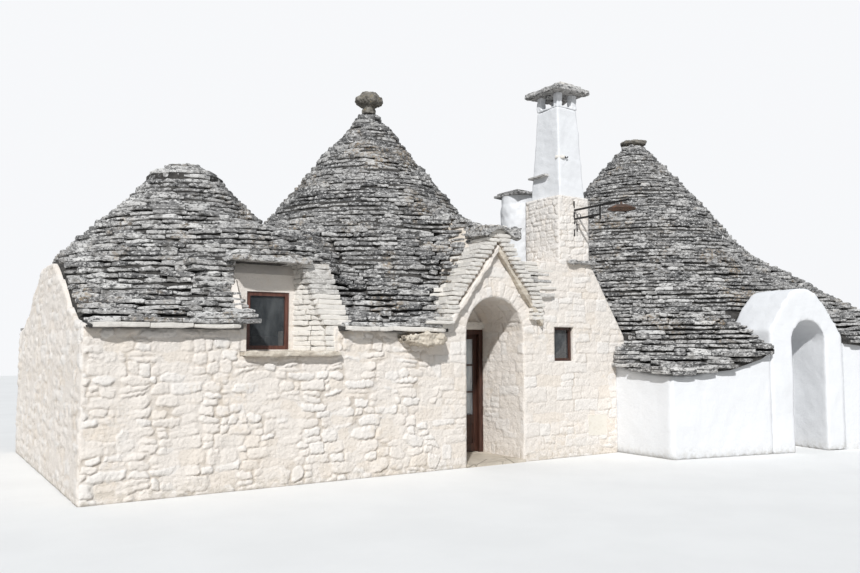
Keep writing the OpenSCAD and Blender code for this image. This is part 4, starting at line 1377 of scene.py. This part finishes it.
def frontStones(x, z):
    # rubble on the left, squared stones by the porch, a ring of small ones on its arch
    rubble, squared, small = (laidStones(x, z, stoneLook[look], seed) for look, seed in
                              (("rubble", 21), ("squared", 22), ("small", 25)))
    swing, pace = change["wave"]
    right = x > leftPier[0][0] - change["fromPier"] + swing * np.sin(z * pace)
    above = z > stack[0][2] + change["overStack"]
    height, relief, tone = (np.where(above, t, np.where(right, q, r))
                            for t, q, r in zip(small, squared, rubble))
    look = stoneLook["ring"]
    rng = np.random.default_rng(23)
    angle = np.arctan2(z - mouth["spring"], x)
    far = np.hypot(x, z - mouth["spring"]) - mouth["radius"]
    cuts = np.linspace(0, math.pi, look["count"] + 1)
    cuts[1:-1] += rng.normal(0, 0.02, look["count"] - 1)
    k = np.clip(np.searchsorted(cuts, angle) - 1, 0, look["count"] - 1)
    reach = rng.uniform(*look["reach"], look["count"])[k]
    aside = np.minimum(angle - cuts[k], cuts[k + 1] - angle) * (far + mouth["radius"])
    inRing = (angle > 0) & (angle < math.pi) & (far < reach)
    edge = np.maximum(np.minimum(aside, reach - far), 1e-3)
    tint = rng.random(look["count"])[k]
    ringHeight, ringRelief = faceHeight(np.stack([x, z], 1), edge, tint, look, 24)
    outer = np.where((angle > 0) & (angle < math.pi), soft(far - reach, 0, 0.02), 1)
    height = np.where(inRing, ringHeight, height * outer)
    return height, np.where(inRing, ringRelief, relief * outer), np.where(inRing, tint, tone)


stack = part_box("chimney_base")
fronts = ["front_wall_left", "front_wall_middle", "porch_left_pier", "porch_right_pier",
          "porch_gable", "window_wall", "chimney_base"]
sides = ["left_party_wall", "front_wall_left", "back_wall_left", "left_roof"]
stoneSheet("front_stones_left", fronts, 1, 0, frontStones, span=(-99, -2.2))
stoneSheet("front_stones_right", fronts, 1, 0, frontStones, span=(-2.2, 99))
for name, names, axis, end, look, seed, cell in (
        ("stack_left_stones", ["chimney_base"], 0, 0, "small", 31, 0.0125),
        ("stack_right_stones", ["chimney_base"], 0, 1, "small", 32, 0.02),
        ("stack_back_stones", ["chimney_base"], 1, 1, "squared", 33, 0.025),
        ("party_wall_stones", sides, 0, 0, "rubble", 34, 0.03),
        ("back_left_stones", ["back_wall_left"], 1, 1, "rubble", 35, 0.03),
        ("back_right_stones", ["back_wall_right"], 1, 1, "rubble", 36, 0.038),
        ("right_end_stones", ["right_end_wall", "right_roof"], 0, 1, "rubble", 39, 0.038),
        ("back_step_stones", ["back_wall_right"], 0, 0, "rubble", 37, 0.03),
        ("door_head_stones", ["door_head_wall"], 1, 0, "squared", 38, 0.014)):
    stoneSheet(name, names, axis, end, walls(look, seed), cell)


def porchLining():
    # stones up one pier, round the arch and down the other, unrolled as one sheet
    radius, spring, depth = mouth["radius"], mouth["spring"], mouth["depth"]
    arc = math.pi * radius
    grid, quads = gridOver((0, 0), (2 * spring + arc, depth), 0.018)
    folded = np.minimum(grid[:, 0], 2 * spring + arc - grid[:, 0])
    pattern = laidStones(grid[:, 1] + np.where(grid[:, 0] > spring + arc / 2, 7.3, 0.0), folded,
                         stoneLook["squared"], 41)
    edge = soft(np.minimum(grid[:, 1], depth - grid[:, 1]), 0, 0.02)
    height = stoneLook["lift"] + np.maximum(pattern[0], 0) * (0.25 + 0.75 * edge)

    def bend(u, v, h):
        angle = np.clip((u - spring) / radius, 0, math.pi)
        rise = np.where(u < spring, u, np.where(u > spring + arc, 2 * spring + arc - u, spring))
        inner = radius - h
        return np.stack([-np.cos(angle) * inner, v, rise + np.sin(angle) * inner], 1)

    arrangeSheet("porch_stones", grid, quads[:, ::-1], grid.copy(), bend, height,
                 {"relief": pattern[1], "tone": pattern[2]})


porchLining()
laceCurtain()
print("stone sheets laid")


# light

def lightHouse():
    key = bpy.data.lights.new("sun", "SUN")
    key.energy = lamps["sun"]
    key.angle = math.radians(lamps["sunAngle"])
    lamp = bpy.data.objects.new("sun", key)
    lamp.rotation_euler = (math.radians(lamps["sunTilt"]), 0, math.radians(lamps["sunTurn"]))
    scene.collection.objects.link(lamp)
    scene.world = bpy.data.worlds.new("sky")
    scene.world.use_nodes = True
    sky = NodeTree(scene.world.node_tree)
    glow, seen = (sky.node("ShaderNodeBackground", None, {"Color": colour, "Strength": power})
                  for colour, power in ((stageLook["glow"], lamps["sky"]), (stageLook["sky"], 1.0)))
    rays = [sky.node("ShaderNodeLightPath", out=f"Is {kind} Ray")
            for kind in ("Camera", "Transmission")]
    either = sky.node("ShaderNodeMath", {"operation": "MAXIMUM"}, {0: rays[0], 1: rays[1]})
    both = sky.node("ShaderNodeMixShader", None, {0: either, 1: glow, 2: seen})
    sky.feed(sky.tree.nodes["World Output"].inputs["Surface"], both)


lightHouse()


def makeGround():
    half = stageLook["size"] / 2
    mesh = bpy.data.meshes.new("ground")
    mesh.from_pydata([(-half, -half, 0), (half, -half, 0), (half, half, 0), (-half, half, 0)],
                     [], [(0, 1, 2, 3)])
    ground = bpy.data.objects.new("ground", mesh)
    scene.collection.objects.link(ground)
    mesh.materials.append(paleGround())


makeGround()
scene.view_settings.view_transform = "Standard"
